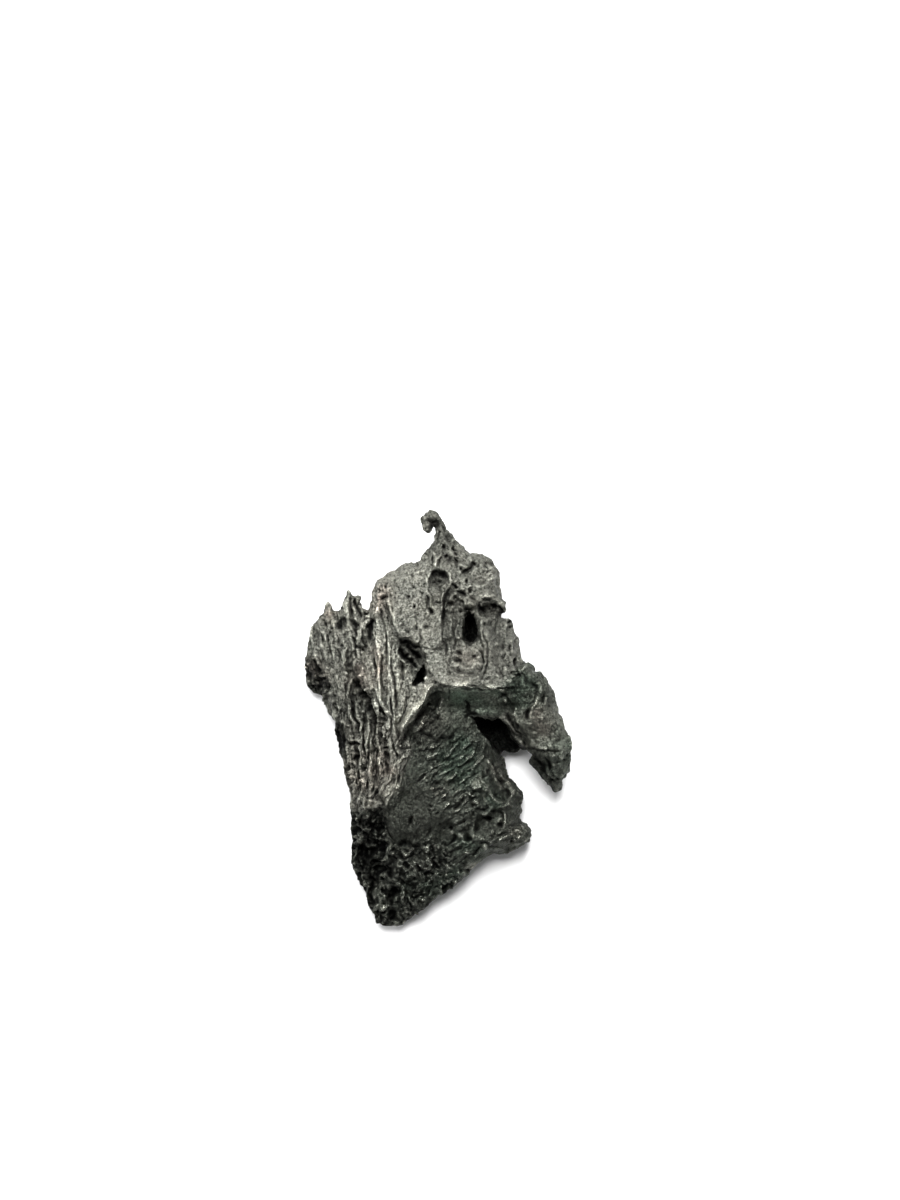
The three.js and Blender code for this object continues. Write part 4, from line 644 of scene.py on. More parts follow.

# Painted shade laid into hollows, creases and under overhangs: (width, strength, points).

SHADE_LINES = (
    # lobe
    (0.8, 0.9, ((9.9, 44.5), (9.9, 43.2), (9.6, 41.9), (9.2, 40.5))),
    (0.6, 0.7, ((8.9, 42.6), (8.7, 41.4), (8.4, 40.5), (9.2, 40.1))),
    (0.5, 0.9, ((7.8, 47.2), (7.75, 46.6))),
    (0.6, 0.7, ((8.1, 46), (8.5, 45.2))),
    (0.5, 1, ((5, 43), (5, 44.1), (5.5, 44.7), (6.1, 44.4), (6.2, 43.8))),
    (1, 0.45, ((5.6, 44.2), (5.6, 43))),
    (0.7, 0.9, ((0.5, 39.2), (1.2, 38.3), (2, 37.2), (2.8, 35.9), (3.5, 34.4))),
    # the furrow and the slits beside it
    (1, 1, ((7.3, 36.1), (7.9, 34.9), (8.5, 33.6), (9, 32.5), (9.5, 31.3))),
    (0.8, 0.9, ((9.4, 31.3), (10, 30.3), (10.4, 29), (10.4, 27.4))),
    (0.45, 0.8, ((6.5, 35.2), (6.45, 33.6), (6.55, 31.8))),
    (0.45, 0.8, ((7.2, 35.4), (7.25, 33.6), (7.5, 31.8), (7.8, 30.2))),
    (0.6, 0.6, ((4.2, 33.6), (4.6, 33.1), (4.5, 32.2))),
    # side notch and the slit over it
    (1.6, 1, ((5, 29.8), (5.3, 28.4), (5.3, 27.3), (5.2, 25.6))),
    (0.35, 0.5, ((5.6, 27), (6.6, 26.6), (7.2, 26.7))),
    (0.5, 0.6, ((5.7, 24.8), (6.1, 23), (6.6, 21), (7.1, 18.6), (7.5, 16.4))),
    # where the band meets the plate
    (0.7, 0.9, ((11.3, 47.4), (11.9, 47.7))),
    (0.55, 0.9, ((12.2, 47), (12.5, 45.4), (12.9, 43.8), (13.4, 42.6), (13.9, 41.6), (14.2, 40.4),
        (14.5, 39.2))),
    (1.2, 1, ((14.6, 41.2), (15.5, 40.9), (15.4, 40), (15, 38.8))),
    (0.9, 0.9, ((15.9, 40.3), (16.6, 39.6), (17.1, 38.6), (17.3, 37.6))),
    (0.6, 0.8, ((15.2, 39.2), (15.9, 38.4), (16.4, 37.8))),
    # plate
    (1.4, 0.75, ((21.4, 49.5), (20.9, 48), (20.6, 46.6), (20.4, 45.2), (20.2, 43.4))),
    (0.5, 0.5, ((20.2, 43.2), (20.4, 41.2), (20.5, 39.4))),
    (0.8, 1, ((18.5, 50.7), (19.2, 51.2), (20, 51.2), (20.6, 50.7))),
    (1.8, 0.6, ((19.4, 50.7), (19.3, 49.6), (19.2, 48.8))),
    (0.9, 0.5, ((22.4, 45), (22.2, 43.6), (22.3, 42.2))),
    (1.1, 1, ((25.8, 46.2), (26.4, 46.8), (27, 46.9), (27.7, 46.5), (28.3, 45.8), (28.9, 45.6))),
    (0.5, 0.9, ((25.5, 46.7), (25.7, 45.9), (26.2, 45.3))),
    (1.6, 0.45, ((26.4, 45.8), (27.2, 45.6), (28.2, 45))),
    (0.6, 0.9, ((23.2, 46), (23.9, 45.7), (24.6, 45.9))),
    (0.6, 0.8, ((22, 48.5), (22.8, 48.2), (23.4, 47.8))),
    (0.65, 1, ((22.9, 51.1), (23.5, 51.6), (24.2, 52.3), (24.6, 52.7))),
    (0.8, 0.5, ((20.6, 53.4), (21.2, 53.2))),
    (1, 1, ((18.3, 58), (19, 58.15), (19.8, 58.4))),
    (0.3, 0.7, ((17.8, 58.8), (18.5, 58.7), (19.2, 58.8), (19.7, 58.4))),
    (0.25, 0.7, ((25.7, 40), (25.9, 38.6), (25.2, 37.6), (23.6, 37), (22, 37.3), (21, 37.9))),
    (0.25, 0.7, ((26.1, 41), (26.3, 39.4), (26.2, 37.6), (25.2, 36), (24.9, 35.4))),
    (0.3, 0.9, ((21.6, 52.9), (22.2, 52.2), (22.2, 51.6))),
    # hollow
    (1.2, 1, ((23.3, 32.4), (23.9, 31.9), (23.9, 31), (24.9, 30.7))),
    (0.45, 0.9, ((18.8, 34.5), (18.1, 33.2), (17.4, 32), (16.8, 31), (16, 29.8))),
    (0.45, 0.9, ((17.5, 31.1), (16.9, 30.2), (16.3, 29.2))),
    (0.7, 0.7, ((16.6, 28.4), (17.6, 28.1), (18.6, 27.8), (19.4, 27.3))),
    (0.8, 0.5, ((19.4, 27.3), (20.8, 27.4), (22, 27.6))),
    (2.6, 0.6, ((20.2, 31), (22, 30.3), (24, 29.6))),
    (0.8, 0.6, ((24.8, 30.9), (26.4, 31), (28, 30.8), (28.8, 30.3))),
    # foot
    (1.2, 0.8, ((8.7, 16.3), (9.6, 15.6), (10.8, 15.4), (11.5, 16.4))),
    (1.5, 1, ((9.2, 14.2), (9, 12.4), (9.4, 10.8), (10.6, 9.6), (12, 9), (13.4, 8.4))),
    (1.1, 1, ((9, 10.6), (9.4, 8.8), (9.6, 6.8), (9.6, 5), (9.5, 3.8))),
    (0.8, 0.9, ((10.4, 7.6), (11.8, 7.9), (13.2, 7.7))),
    (0.9, 1, ((12.6, 5.4), (12.9, 4.2), (13.3, 2.8), (13.1, 1.4))),
    (0.7, 0.9, ((14.4, 7.2), (15.3, 6.6), (15.6, 5.4), (15.9, 4), (15.3, 2.2))),
    (0.7, 0.9, ((11.9, 15.4), (12.1, 14), (12.9, 12.9), (13.8, 12.5))),
    (0.6, 1, ((14.2, 12.5), (15, 12.5), (15.7, 12))),
    (0.6, 0.8, ((16.2, 12.2), (17.2, 11.6), (17.8, 11.8))),
    # lower right
    (0.7, 0.9, ((26.1, 16), (27, 16.2), (27.4, 16.8))),
    (0.7, 1, ((28.1, 15.5), (28.4, 14.9))),
    (1.4, 0.5, ((25.2, 14.8), (26.4, 15), (27.6, 14.4))),
    (0.6, 0.8, ((24.4, 16.9), (25, 17.2), (26.2, 17.3))),
    (0.5, 0.9, ((20.2, 12.2), (21, 12.2), (21.6, 12.9), (21.9, 13.7))),
    (0.6, 0.8, ((23.4, 13.5), (23.7, 12.8), (24.4, 13.2))),
    # hook
    (1.5, 0.6, ((29.1, 30.2), (29.8, 29.2), (30.8, 27.8), (31.8, 26.6))),
    (0.6, 0.9, ((30.4, 36.3), (30.3, 35.6), (31, 35.3))),
    (0.6, 0.7, ((31.7, 36.4), (32, 35.7), (32.8, 35.3), (33.4, 34.8))),
    (0.5, 1, ((32.3, 31.8), (32.2, 31), (32.3, 30.2))),
    (0.6, 0.8, ((29.6, 31.2), (30, 30), (30.7, 28.8))),
    (0.8, 1, ((32.2, 26), (33.2, 25.8), (34.2, 25.6))),
    (1.3, 0.9, ((33.2, 25.2), (33.8, 24.2), (34.2, 23), (34.6, 22))),
    (0.6, 0.9, ((34.8, 24.8), (35.2, 23.9), (35.4, 22.9))),
    (0.6, 0.8, ((35.2, 21.3), (36, 21), (36.8, 21.5))),
)

# Painted highlights along rims and ridges: (width, strength, points).
HIGHLIGHT_LINES = (
    (0.5, 1.3, ((23.9, 47.1), (24.2, 46.4))),
    (0.4, 0.9, ((24.5, 47), (24.7, 46.5))),
    (0.28, 0.8, ((6.2, 45.1), (6.6, 44), (6.5, 42.8), (5.7, 42.2), (5, 42.4))),
    # rims of the hollow and the arch
    (0.6, 1.5, ((18.5, 35), (18, 34.1), (17.4, 33), (16.8, 32.1), (16.3, 31.4))),
    (1.1, 1.6, ((16.1, 31.3), (15.5, 30.5), (14.9, 29.8), (14.4, 29.1))),
    (0.34, 1.4, ((21, 34.95), (21.6, 35.1), (22.2, 35.3), (23.2, 35.3), (24.3, 35.15), (25.4, 35.2),
        (26.2, 34.95), (27.4, 35))),
    (0.5, 1.5, ((21.2, 34.8), (22, 35.15))),
    (0.4, 1, ((19.9, 33.5), (19.75, 32.6), (19.6, 31.4))),
    (0.4, 1, ((17.7, 30.6), (17.3, 29.8), (16.8, 29.1), (16.2, 28.5))),
    # edge of the fibres
    (0.4, 1.4, ((15.2, 24.8), (14.4, 24.5), (13.8, 23.9), (13.4, 23.2), (13.2, 22.4))),
    (0.3, 0.8, ((13.4, 27), (13.6, 25.9), (14.1, 25.1))),
    (0.5, 1.2, ((12, 18.3), (12.6, 19.2), (13.2, 20.2), (13.9, 21.2))),
    (1.5, 0.5, ((11.8, 19.3), (12.4, 20.4), (13, 21.6))),
    (0.8, 0.9, ((9.1, 17.9), (9.8, 17.8), (10.8, 18.1))),
    (0.3, 0.8, ((10.7, 30), (10.85, 28.6), (11, 27.2), (11.1, 26))),
    (0.35, 0.9, ((9, 34.4), (9.7, 34.6), (10.4, 34.5))),
    (0.3, 0.9, ((10.9, 34.3), (11.2, 33.2), (11.7, 32.2), (12.3, 31.5))),
    (0.4, 0.9, ((8.2, 36.8), (8.4, 36.1))),
    (0.3, 0.7, ((12.5, 39.2), (12.5, 37.6), (12.7, 36))),
    (0.3, 0.7, ((3.3, 32), (3.6, 33), (4.1, 33.9))),
    # plate
    (0.28, 0.8, ((12.45, 47.8), (12.85, 46), (13.05, 44.4), (13.3, 43))),
    (0.28, 0.8, ((18.75, 54.3), (19, 53.2), (19.05, 52))),
    (0.3, 0.8, ((20.9, 51), (21.05, 50), (20.85, 49.1))),
    (0.25, 0.9, ((18.2, 48.2), (18.35, 47.2), (18.5, 46.3))),
    (0.34, 1.4, ((25.7, 47.5), (26.4, 47.75), (27.2, 47.75))),
    (0.5, 0.45, ((28.2, 47), (28.8, 46.9), (29.1, 46.3))),
    (0.3, 0.8, ((14.5, 41.85), (15.4, 41.85), (16.2, 41.5), (16.9, 41))),
    # tangle, rings and lobe of the lower right
    (1, 1, ((24, 21.4), (24.9, 21.3), (25.8, 20.6))),
    (0.35, 0.6, ((25.2, 22.2), (26.5, 20.6), (27.5, 19), (29.1, 18.2))),
    (0.45, 0.5, ((26.7, 24.3), (27.2, 22.8), (28, 21.4))),
    (0.35, 0.5, ((28.1, 23.1), (28.8, 21.8), (29.7, 20.6))),
    (0.3, 0.9, ((26, 19.5), (26, 18.8), (26.2, 18.2))),
    (0.3, 0.8, ((30.2, 19.9), (30.1, 19), (29.7, 18.1), (29, 17.6))),
    (0.3, 0.9, ((28.95, 16.9), (29.05, 16), (28.8, 14.9))),
    (0.45, 0.7, ((30.1, 13.6), (30.8, 14.1), (31.3, 13.4), (30.8, 12.9))),
    (0.5, 0.8, ((22.4, 13), (22.9, 13.6))),
    (0.45, 0.9, ((26, 12), (26.2, 11.8))),
    # hook
    (0.25, 1, ((30.1, 36.6), (31, 37.05), (31.6, 37.5), (32.3, 38))),
    (0.2, 0.8, ((33.6, 33.7), (33.3, 32.6), (32.7, 31.8), (32.5, 30.9), (32.6, 30.1))),
    (0.18, 0.5, ((34.95, 33.5), (34.6, 32.6))),
    (0.22, 0.6, ((29.5, 31.4), (29.9, 30.9), (30.4, 30.2))),
    (0.35, 0.6, ((34.2, 26.2), (34.9, 25.8))),
)

# Tints: green patina and warm rust: (width, strength, points).

GREEN_LINES = (
    (2.8, 0.7, ((21, 33.7), (24, 33.4), (27.4, 33.4))),
    (4, 1, ((32.6, 36.6), (31, 34.6), (30.6, 31.6))),
    (5, 1, ((19.5, 23.8), (21.5, 24.6), (24.6, 26))),
    (3, 0.6, ((20, 20.4), (23, 22.5))),
    (2.5, 0.6, ((21, 13.5), (26, 11))),
    (3, 0.5, ((13.5, 5), (19, 6), (24, 9))),
    (2, 0.4, ((26.8, 44.4), (27, 41))),
    (3, 1, ((36.6, 27.6), (36.8, 24), (35.8, 21.4))),
    (2, 0.5, ((14.6, 52), (15.6, 50))),
    (4, 0.5, ((26, 22), (28, 17))),
)

RUST_LINES = (
    (3.5, 0.9, ((7.6, 25.5), (8.8, 22), (9.8, 20))),
    (2.6, 0.9, ((11, 25.5), (11.8, 22))),
    (2.4, 0.8, ((7.6, 38), (8.8, 36.6), (8.4, 34.6))),
    (2.2, 0.8, ((9.2, 46), (10.8, 46.6), (11.8, 49.4))),
    (3.2, 0.8, ((33, 32), (33.8, 30), (34.4, 27.6))),
    (2.6, 0.8, ((27, 23.6), (28.4, 21.4), (29, 19.6))),
    (2.2, 0.4, ((22.4, 39.2), (24.6, 38))),
    (3, 0.5, ((16.5, 29.5), (19, 29.5), (21.5, 30.5))),
    (2.4, 0.6, ((18.4, 20.2), (21, 21))),
    (2.4, 0.5, ((29.4, 14.4), (31.4, 13.4))),
    (1.6, 0.8, ((3.2, 45.8), (4, 44.6))),
    (2.2, 0.9, ((0.4, 38.6), (1.8, 36.8), (3, 35.4))),
    (1.6, 0.7, ((10.4, 41), (10.8, 38.6), (11, 36.6))),
)

# Places where the outline is pushed: (x, y, reach, along x, along y).

NUDGES = (
    (18.3, 60.7, 1.6, 0, -0.25), (17.3, 60.2, 1.1, 0.45, -0.35),
    (20.3, 59.4, 1.3, -0.2, -0.1), (17.7, 57.9, 1.2, 0.15, -0.9),
    (24.3, 54.5, 2.5, 0, -0.25), (28.6, 51, 3, -0.25, 0),
    (29.7, 46.1, 1.2, -0.45, 0.1), (30.6, 43.5, 2, -0.2, 0),
    (0, 42.5, 2.6, 0.65, 0), (0.2, 40.4, 2.2, 0.6, 0), (0.7, 44.3, 1.2, 0.3, -0.1),
    (37.6, 31.5, 2.4, -0.4, -0.1), (38.9, 26.8, 2.4, 0.45, 0.1),
    (33.1, 24.2, 1.9, -0.7, -0.15), (38.5, 21.3, 1.5, -0.65, 0.1),
    (31.9, 38.7, 1.3, 0, -0.45), (33.8, 37, 1.2, 0.3, 0.25),
    (7.7, 47.6, 1, 0.35, 0.3), (34.9, 20.7, 1.3, -0.35, -0.1),
    (38, 29.6, 1.4, -0.35, 0),
)

# The grain of the metal follows these flow lines.

FLOWS = (
    ((18.5, 60), (19.5, 58.5), (19.8, 56), (19.5, 53)),
    ((14, 52), (13, 48), (13.5, 44), (15, 42), (17, 38), (17.6, 36)),
    ((18.5, 53), (18.4, 48), (18.3, 44), (18.6, 40), (18.8, 36.4)),
    ((21, 54), (21, 50), (20.3, 46), (20.2, 42), (20.8, 38)),
    ((22, 54.5), (24, 52.6), (26, 51.6), (27.6, 49.4)),
    ((22.6, 48), (24.8, 49.2), (27.2, 50.2)),
    ((25.6, 45), (25.8, 42), (26.3, 39), (25.4, 36.4)),
    ((28, 44.5), (28, 41), (28.6, 38.5), (29.5, 36.8)),
    ((30.3, 43.5), (30.4, 40), (30.6, 38.2)),
    ((19, 35.9), (22, 36), (25, 35.6), (28, 35.8)),
    ((1.5, 44), (2, 41), (3, 38), (4.8, 35), (5.5, 32), (5.8, 30)),
    ((3.4, 46), (3.8, 43), (4.4, 39.5), (5.6, 36), (6.3, 32), (6.5, 28)),
    ((6.4, 47.5), (6.6, 44), (7.2, 41), (7.3, 38), (7.8, 35.5)),
    ((8.5, 45.8), (8.6, 42), (9, 39), (9.6, 36), (10, 33)),
    ((10.5, 49), (10.6, 44), (10.9, 40), (11.3, 36), (11.5, 33), (12.4, 31)),
    ((12, 49), (12.5, 45), (12.6, 41), (13, 37), (13.2, 33), (13.2, 29)),
    ((15.2, 38), (15, 34), (14.6, 31), (13.9, 29)),
    ((7, 29), (7.6, 25), (7.6, 21), (7.6, 18), (7.5, 13)),
    ((8.6, 29), (8.8, 25), (8.9, 21), (9, 18.5)),
    ((9.8, 31), (10, 27), (9.8, 23), (9.9, 20)),
    ((10.9, 30), (11.1, 27), (11.2, 24), (11, 20.5), (10.3, 19)),
    ((12.3, 29), (12.3, 26), (12.6, 23), (12, 20.5), (11, 19)),
    ((13.4, 28.3), (14, 26), (13.6, 23), (13.4, 20.8), (12.3, 18.7)),
    ((14.6, 28.2), (15.3, 26.6), (15.5, 25), (14.7, 22.6), (14.2, 20.6)),
    ((16, 28.5), (17.5, 30.5), (19, 32.5), (19.6, 34.5)),
    ((20, 27.8), (21.5, 29.4), (23, 30.8)),
    ((16.5, 24), (18.5, 24.6), (20.5, 25.2), (22.2, 26.8), (23.8, 28)),
    ((17.3, 19.2), (20, 20.3), (22, 22), (24, 23.3), (25.5, 25.2)),
    ((21, 17), (23, 18.2), (24.5, 19.5)),
    ((13, 20), (13, 16), (13, 13.5)),
    ((16, 20), (15.8, 16), (15.8, 13)),
    ((18.3, 17), (18.2, 13)),
    ((26.5, 25.5), (27.5, 23), (28.6, 21), (29.8, 19.5), (29.6, 18)),
    ((26, 22), (26.6, 20), (27.4, 18.2), (29, 17.3)),
    ((25.4, 14), (27.2, 13), (29.5, 13.8), (31, 14)),
    ((21, 12), (23, 13.5)),
    ((20.5, 9), (22.5, 10.5), (24.8, 11), (26.5, 11.5)),
    ((9, 14), (8.6, 11), (8.5, 8), (9.5, 5)),
    ((11, 16), (10.6, 12), (10, 8), (9.8, 5), (10.5, 2)),
    ((13, 9.4), (15, 10.8), (16, 12)),
    ((13.5, 8), (14.8, 6), (15.3, 3.5), (15, 1.5)),
    ((16.2, 4), (17.3, 6), (17.5, 8)),
    ((19, 5), (21, 7), (23, 8)),
    ((32, 37.8), (33.5, 36), (34.6, 34), (35.6, 31.5), (36.6, 29), (37.8, 26.5), (37.6, 23),
        (36.7, 20.5)),
    ((30.6, 36), (31.4, 33), (32.2, 30.5), (33.5, 28), (35, 25.8), (35.2, 23), (35.6, 21)),
    ((29, 34), (29.6, 31.5), (30.6, 28.6), (31.6, 26.8), (33, 26.2)),
)

# Zones of the face, each painted over the ones before: its outline, how soft its edge is,
# how much crust covers it, how pale it is, and the depth of its grain, lumps and pits.
# In some zones the paleness is painted shade or painted light, as noted at each.

ZONES = (
    ("plate", ((9, 45), (9.5, 52), (16, 62), (22, 62), (29.5, 54), (32, 44), (32, 37.5),
        (28.2, 34.8), (24, 35), (20.3, 35.3), (18.3, 35), (17.6, 38), (16, 40.8), (13.2, 42.4),
        (12, 47)),
     0.3, 0, 0.8, 0.08, 0.11, 0.15),
    ("plate right", ((20.8, 62), (20.2, 54), (20.6, 48), (20.4, 40), (20.8, 35.4), (28.2, 35),
        (32.5, 37.5), (32.5, 48), (28, 62)),
     1, 0, 0.65, 0.08, 0.12, 0.16),
    # Its low paleness is painted shade in the sunken channel.
    ("trough", ((20.1, 49.6), (23.2, 48.8), (23.6, 46), (22.8, 44.2), (22.2, 42), (22.4, 40),
        (20.7, 39.5), (20.4, 42), (19.9, 45.5)),
     0.35, 0, 0.46, 0.08, 0.14, 0.16),
    ("tip", ((17.4, 54), (16, 62), (22.6, 62), (22.6, 54), (22.4, 52.6), (20.4, 51.8)),
     0.8, 0, 0.42, 0.08, 0.14, 0.12),
    ("right strip", ((26.6, 46), (26.6, 38), (28.4, 36.4), (31.4, 38), (31.4, 44.6)),
     0.8, 0, 0.52, 0.08, 0.12, 0.14),
    ("lobe", ((-1, 36), (-1, 50), (9.2, 50), (9.6, 40), (7.4, 36.6), (6, 30), (3, 30.5)),
     0.6, 0, 0.64, 0.19, 0.12, 0.16),
    ("band", ((8.6, 49.5), (12.4, 49.5), (13, 43), (14.4, 38), (15.6, 35.2), (17.6, 34.6), (15, 30),
        (12, 30), (9.4, 34), (8.2, 40)),
     0.6, 0, 0.98, 0.24, 0.08, 0.1),
    ("fibres", ((4, 30), (8, 36), (13, 32), (14.6, 28.3), (15.6, 26.4), (15.6, 24.8), (14.6, 23),
        (14.4, 21.2), (13.8, 20), (12.6, 18.6), (11.8, 17.5), (10.4, 17.2), (9, 16.9), (7, 15),
        (4, 20)),
     0.4, 0, 0.58, 0.4, 0.08, 0.12),
    # Its low paleness is crust and painted shade in the deep furrow.
    ("furrow", ((7.3, 36.6), (8.4, 35.2), (9.2, 33.2), (9.9, 31.2), (10.4, 30), (8.8, 29.9),
        (7.4, 30.2), (6.8, 32.4), (6.7, 34.8)),
     0.4, 0.2, 0.34, 0.28, 0.08, 0.12),
    # Its low paleness is painted shade in the crevice.
    ("left crevice", ((14, 41.6), (15.2, 41.4), (16.3, 41), (17.1, 39.6), (17.2, 38.2),
        (17.6, 36.4), (16.4, 35.8), (15.4, 37.2), (14.4, 38.2), (13.6, 39.8)),
     0.3, 0.4, 0.17, 0.1, 0.2, 0.2),
    # Its very low paleness is painted shade in the notch.
    ("side notch", ((4, 30.6), (5.4, 29.8), (6.2, 28.4), (6.3, 26.6), (6, 25.4), (5.3, 24.8),
        (3, 25), (3, 29)),
     0.25, 0.6, 0.07, 0.1, 0.12, 0.1),
    ("hollow", ((27.9, 34.7), (26, 34.7), (24, 34.9), (22.6, 35.1), (21.2, 34.7), (20.3, 35.2),
        (19, 35.1), (18.5, 34.8), (17.9, 33.6), (17.1, 32.3), (16.3, 31), (15.4, 29.4),
        (14.6, 28.3), (15.7, 26.6), (15.9, 25), (15.3, 24.3), (14.7, 23), (14.6, 21.3),
        (13.9, 19.9), (12.8, 18.8), (12.1, 18), (12.2, 12), (20, 8), (33, 12), (33, 20), (28, 25.5),
        (25, 30.7), (28.3, 30.6), (29.4, 31.4), (28.6, 33.6)),
     0.2, 1, 0.45, 0.1, 0.08, 0.1),
    # Made paler to offset the shade that falls on this steep face: painted light.
    ("arch face", ((20.2, 35), (28.2, 34.7), (28.8, 33), (28.4, 30.5), (24.8, 30.6), (22.5, 29),
        (19.8, 30)),
     0.4, 1, 1.72, 0.04, 0.08, 0.08),
    ("ripples", ((16, 27.6), (24.8, 28.6), (26.8, 25.6), (25.6, 20.6), (23.8, 17.4), (20.4, 16.8),
        (16.6, 19.4), (15.8, 22)),
     0.6, 1, 0.53, 0.25, 0.07, 0.1),
    ("smooth patch", ((12.2, 13.4), (12.4, 18.4), (14.6, 21.4), (15.8, 24.4), (17, 24.6),
        (17.6, 21), (19.4, 18.6), (20.8, 16), (19.8, 13), (17, 12.6), (14, 12.6)),
     0.7, 1, 0.41, 0.045, 0.03, 0.08),
    ("lower right", ((23.6, 17.4), (25.4, 21.4), (26.6, 25.6), (30, 23.4), (33.5, 19), (33.5, 11),
        (26, 9), (22, 11.6)),
     0.6, 1, 0.51, 0.12, 0.1, 0.1),
    # Its low paleness is painted shadow on the lobe's lower flank.
    ("lobe side", ((-1.5, 39.5), (1.2, 38.6), (2.4, 37.6), (3.3, 36.4), (3.9, 34.8), (4, 34),
        (3.6, 33), (3.3, 32), (3.6, 31), (4.3, 30.2), (2, 29), (-1.5, 33)),
     0.25, 0.8, 0.14, 0.2, 0.2, 0.35),
    ("foot", ((6, 16), (9, 17), (11.8, 17.4), (12, 13.4), (14, 12.4), (17, 12.4), (20.4, 12.6),
        (22.6, 9.8), (24.6, 7.4), (16, -1.5), (8, -1.5)),
     0.5, 1, 0.31, 0.12, 0.2, 0.3),
    # Its low paleness is crust and painted shade.
    ("foot left", ((6, 16.4), (9, 17), (11.9, 17.6), (12.2, 13.6), (11, 9), (10.2, 3), (8, -1.5),
        (6, 4)),
     0.4, 1, 0.13, 0.12, 0.26, 0.4),
    ("hook", ((28.6, 34.6), (30, 36.6), (32, 38.4), (35, 38), (40, 29), (40, 25.6), (35, 25.7),
        (32, 26.2), (29.4, 31.4), (28.8, 33)),
     0.4, 0.8, 0.92, 0.07, 0.08, 0.08),
    ("hook root", ((28.4, 34.8), (30, 36.6), (32, 38.4), (34.4, 36.8), (34.2, 34), (32.4, 31.4),
        (30.4, 31.2), (28.8, 32.6)),
     0.6, 0.9, 0.54, 0.08, 0.09, 0.08),
    ("hook rim", ((31.4, 38.4), (33.4, 37.8), (35.2, 35), (36.4, 32.2), (35.2, 31.6), (34, 33.8),
        (33.4, 35.4), (32, 36.4)),
     0.3, 0.8, 0.42, 0.06, 0.07, 0.06),
    # Its low paleness is painted shade on the hook's inner side.
    ("hook inside", ((32, 26), (33.6, 26), (34.4, 24.8), (35, 23.6), (35.2, 22), (35.9, 20.8),
        (35.2, 19.6), (32, 23), (31, 25.4)),
     0.3, 1, 0.16, 0.1, 0.16, 0.16),
    # Near black: painted shadow in the cave under the arch.
    ("cave", ((25.1, 30.3), (26.6, 30.4), (28, 30.4), (28.9, 29.9), (29.5, 28.9), (30, 28.4),
        (30.5, 27.4), (31.2, 26.5), (32, 26), (32.5, 25.4), (31, 25.2), (28.3, 25), (27.3, 25.8),
        (26.3, 27.2), (25.4, 28.6)),
     0.15, 1, 0.05, 0.05, 0.05, 0.05),
    # Near black: painted shadow in the hole.
    ("hole", ((23.6, 45.2), (24.3, 45.2), (24.8, 44.5), (25.3, 42.8), (25.3, 42), (24.9, 41.4),
        (24.2, 41), (23.4, 41.4), (22.9, 42.1), (23, 43.4)),
     0.12, 1, 0.05, 0.05, 0.05, 0.05),
    # Near black: painted shade in the crack.
    ("left crack", ((16.9, 37.4), (17.4, 36.4), (17.8, 35.8), (16.9, 35.3), (16, 35.2),
        (15.9, 35.9), (16.5, 36.2), (16.6, 36.9)),
     0.12, 1, 0.08, 0.05, 0.05, 0.05),
    ("hook tip", ((40, 25.6), (35, 25.7), (32, 26.2), (32, 18.5), (40, 18.5)),
     0.4, 0.8, 0.54, 0.1, 0.12, 0.12),
)

GRAIN_SEED = 11
PIT_SEED = 23
SCATTER_SIZE = (39, 60)

# The face outside every zone: its crust, paleness, grain, lumps and pits.

PLAIN_FACE = (0.0, 0.85, 0.1, 0.1, 0.1)

# Fibres, in millimetres: how thick they are, and how far they are combed along the grain.

COARSE, FINE, SHORT = (0.6, 4.2), (0.28, 2.6), (0.34, 0.8)

# Reaches over which height is compared for painted shade in hollows and painted highlight on
# ridges, in millimetres.

EDGE_REACH, HOLLOW_REACH = 0.42, 1.6

# Roughness of the sides and back: its sizes in millimetres along each axis.

SIDE_LUMPS, SIDE_GRIT = (1.7, 2.2, 1.4), (0.5, 0.6, 0.5)

# Lines fade over this share of their length at each end, to this much of their height.

END_SHARE = 0.22
END_HEIGHT = 0.35

# Mesh steps: how near points are merged, and rounds of smoothing.

MERGE_GAP = 0.001 * MM
PLAN_ROUNDS, HEIGHT_ROUNDS, NORMAL_ROUNDS = 4, 45, 6
NEAR_ROUNDS, WIDE_ROUNDS = 6, 40

# Crust and paleness of the underside, whose low paleness is painted shade on what faces down,
# and how far the normals of the back point down.

UNDER_CRUST, UNDER_PALE, BACK_TILT = 0.85, 0.42, -0.4

# Noise scales of the finish: per metre through the metal, and per millimetre along its grain.

PATCHES, SPECKS, GLINTS, PORES, ROUGH, GRIT = 260, 3200, 4600, 1500, 1300, 4200
STREAKS, CRACKS, HAIRLINES, RIBS = 3.2, 1.9, 4.0, 7.0
BUMP_DISTANCE = 0.0003

# The camera: the floor point in the middle of its view, and its sensor's width in millimetres.

VIEW_MIDDLE = (1.8 * MM, 16.98 * MM)
SENSOR = 36.0


# ------------------------ sheet tools


def to_sheet(points):
    """Sheet coordinates of points given in metres."""
    x = (points[:, 0] / MM - SHEET_ORIGIN[0]) / SHEET_SCALE
    y = (points[:, 1] / MM - SHEET_ORIGIN[1]) / SHEET_SCALE
    return x, y


def read(field, x, y):
    """Values of a sheet field at sheet coordinates, between its cells."""
    u = np.clip((x - SHEET_X[0]) / CELL, 0, len(SHEET_X) - 1.001)
    v = np.clip((y - SHEET_Y[0]) / CELL, 0, len(SHEET_Y) - 1.001)
    i, j = u.astype(int), v.astype(int)
    u, v = u - i, v - j
    low = field[j, i] * (1 - u) + field[j, i + 1] * u
    high = field[j + 1, i] * (1 - u) + field[j + 1, i + 1] * u
    return low * (1 - v) + high * v


def ease(value, low, high):
    """0 below low, 1 above high and a smooth step between."""
    t = np.clip((value - low) / (high - low), 0, 1)
    return t * t * (3 - 2 * t)


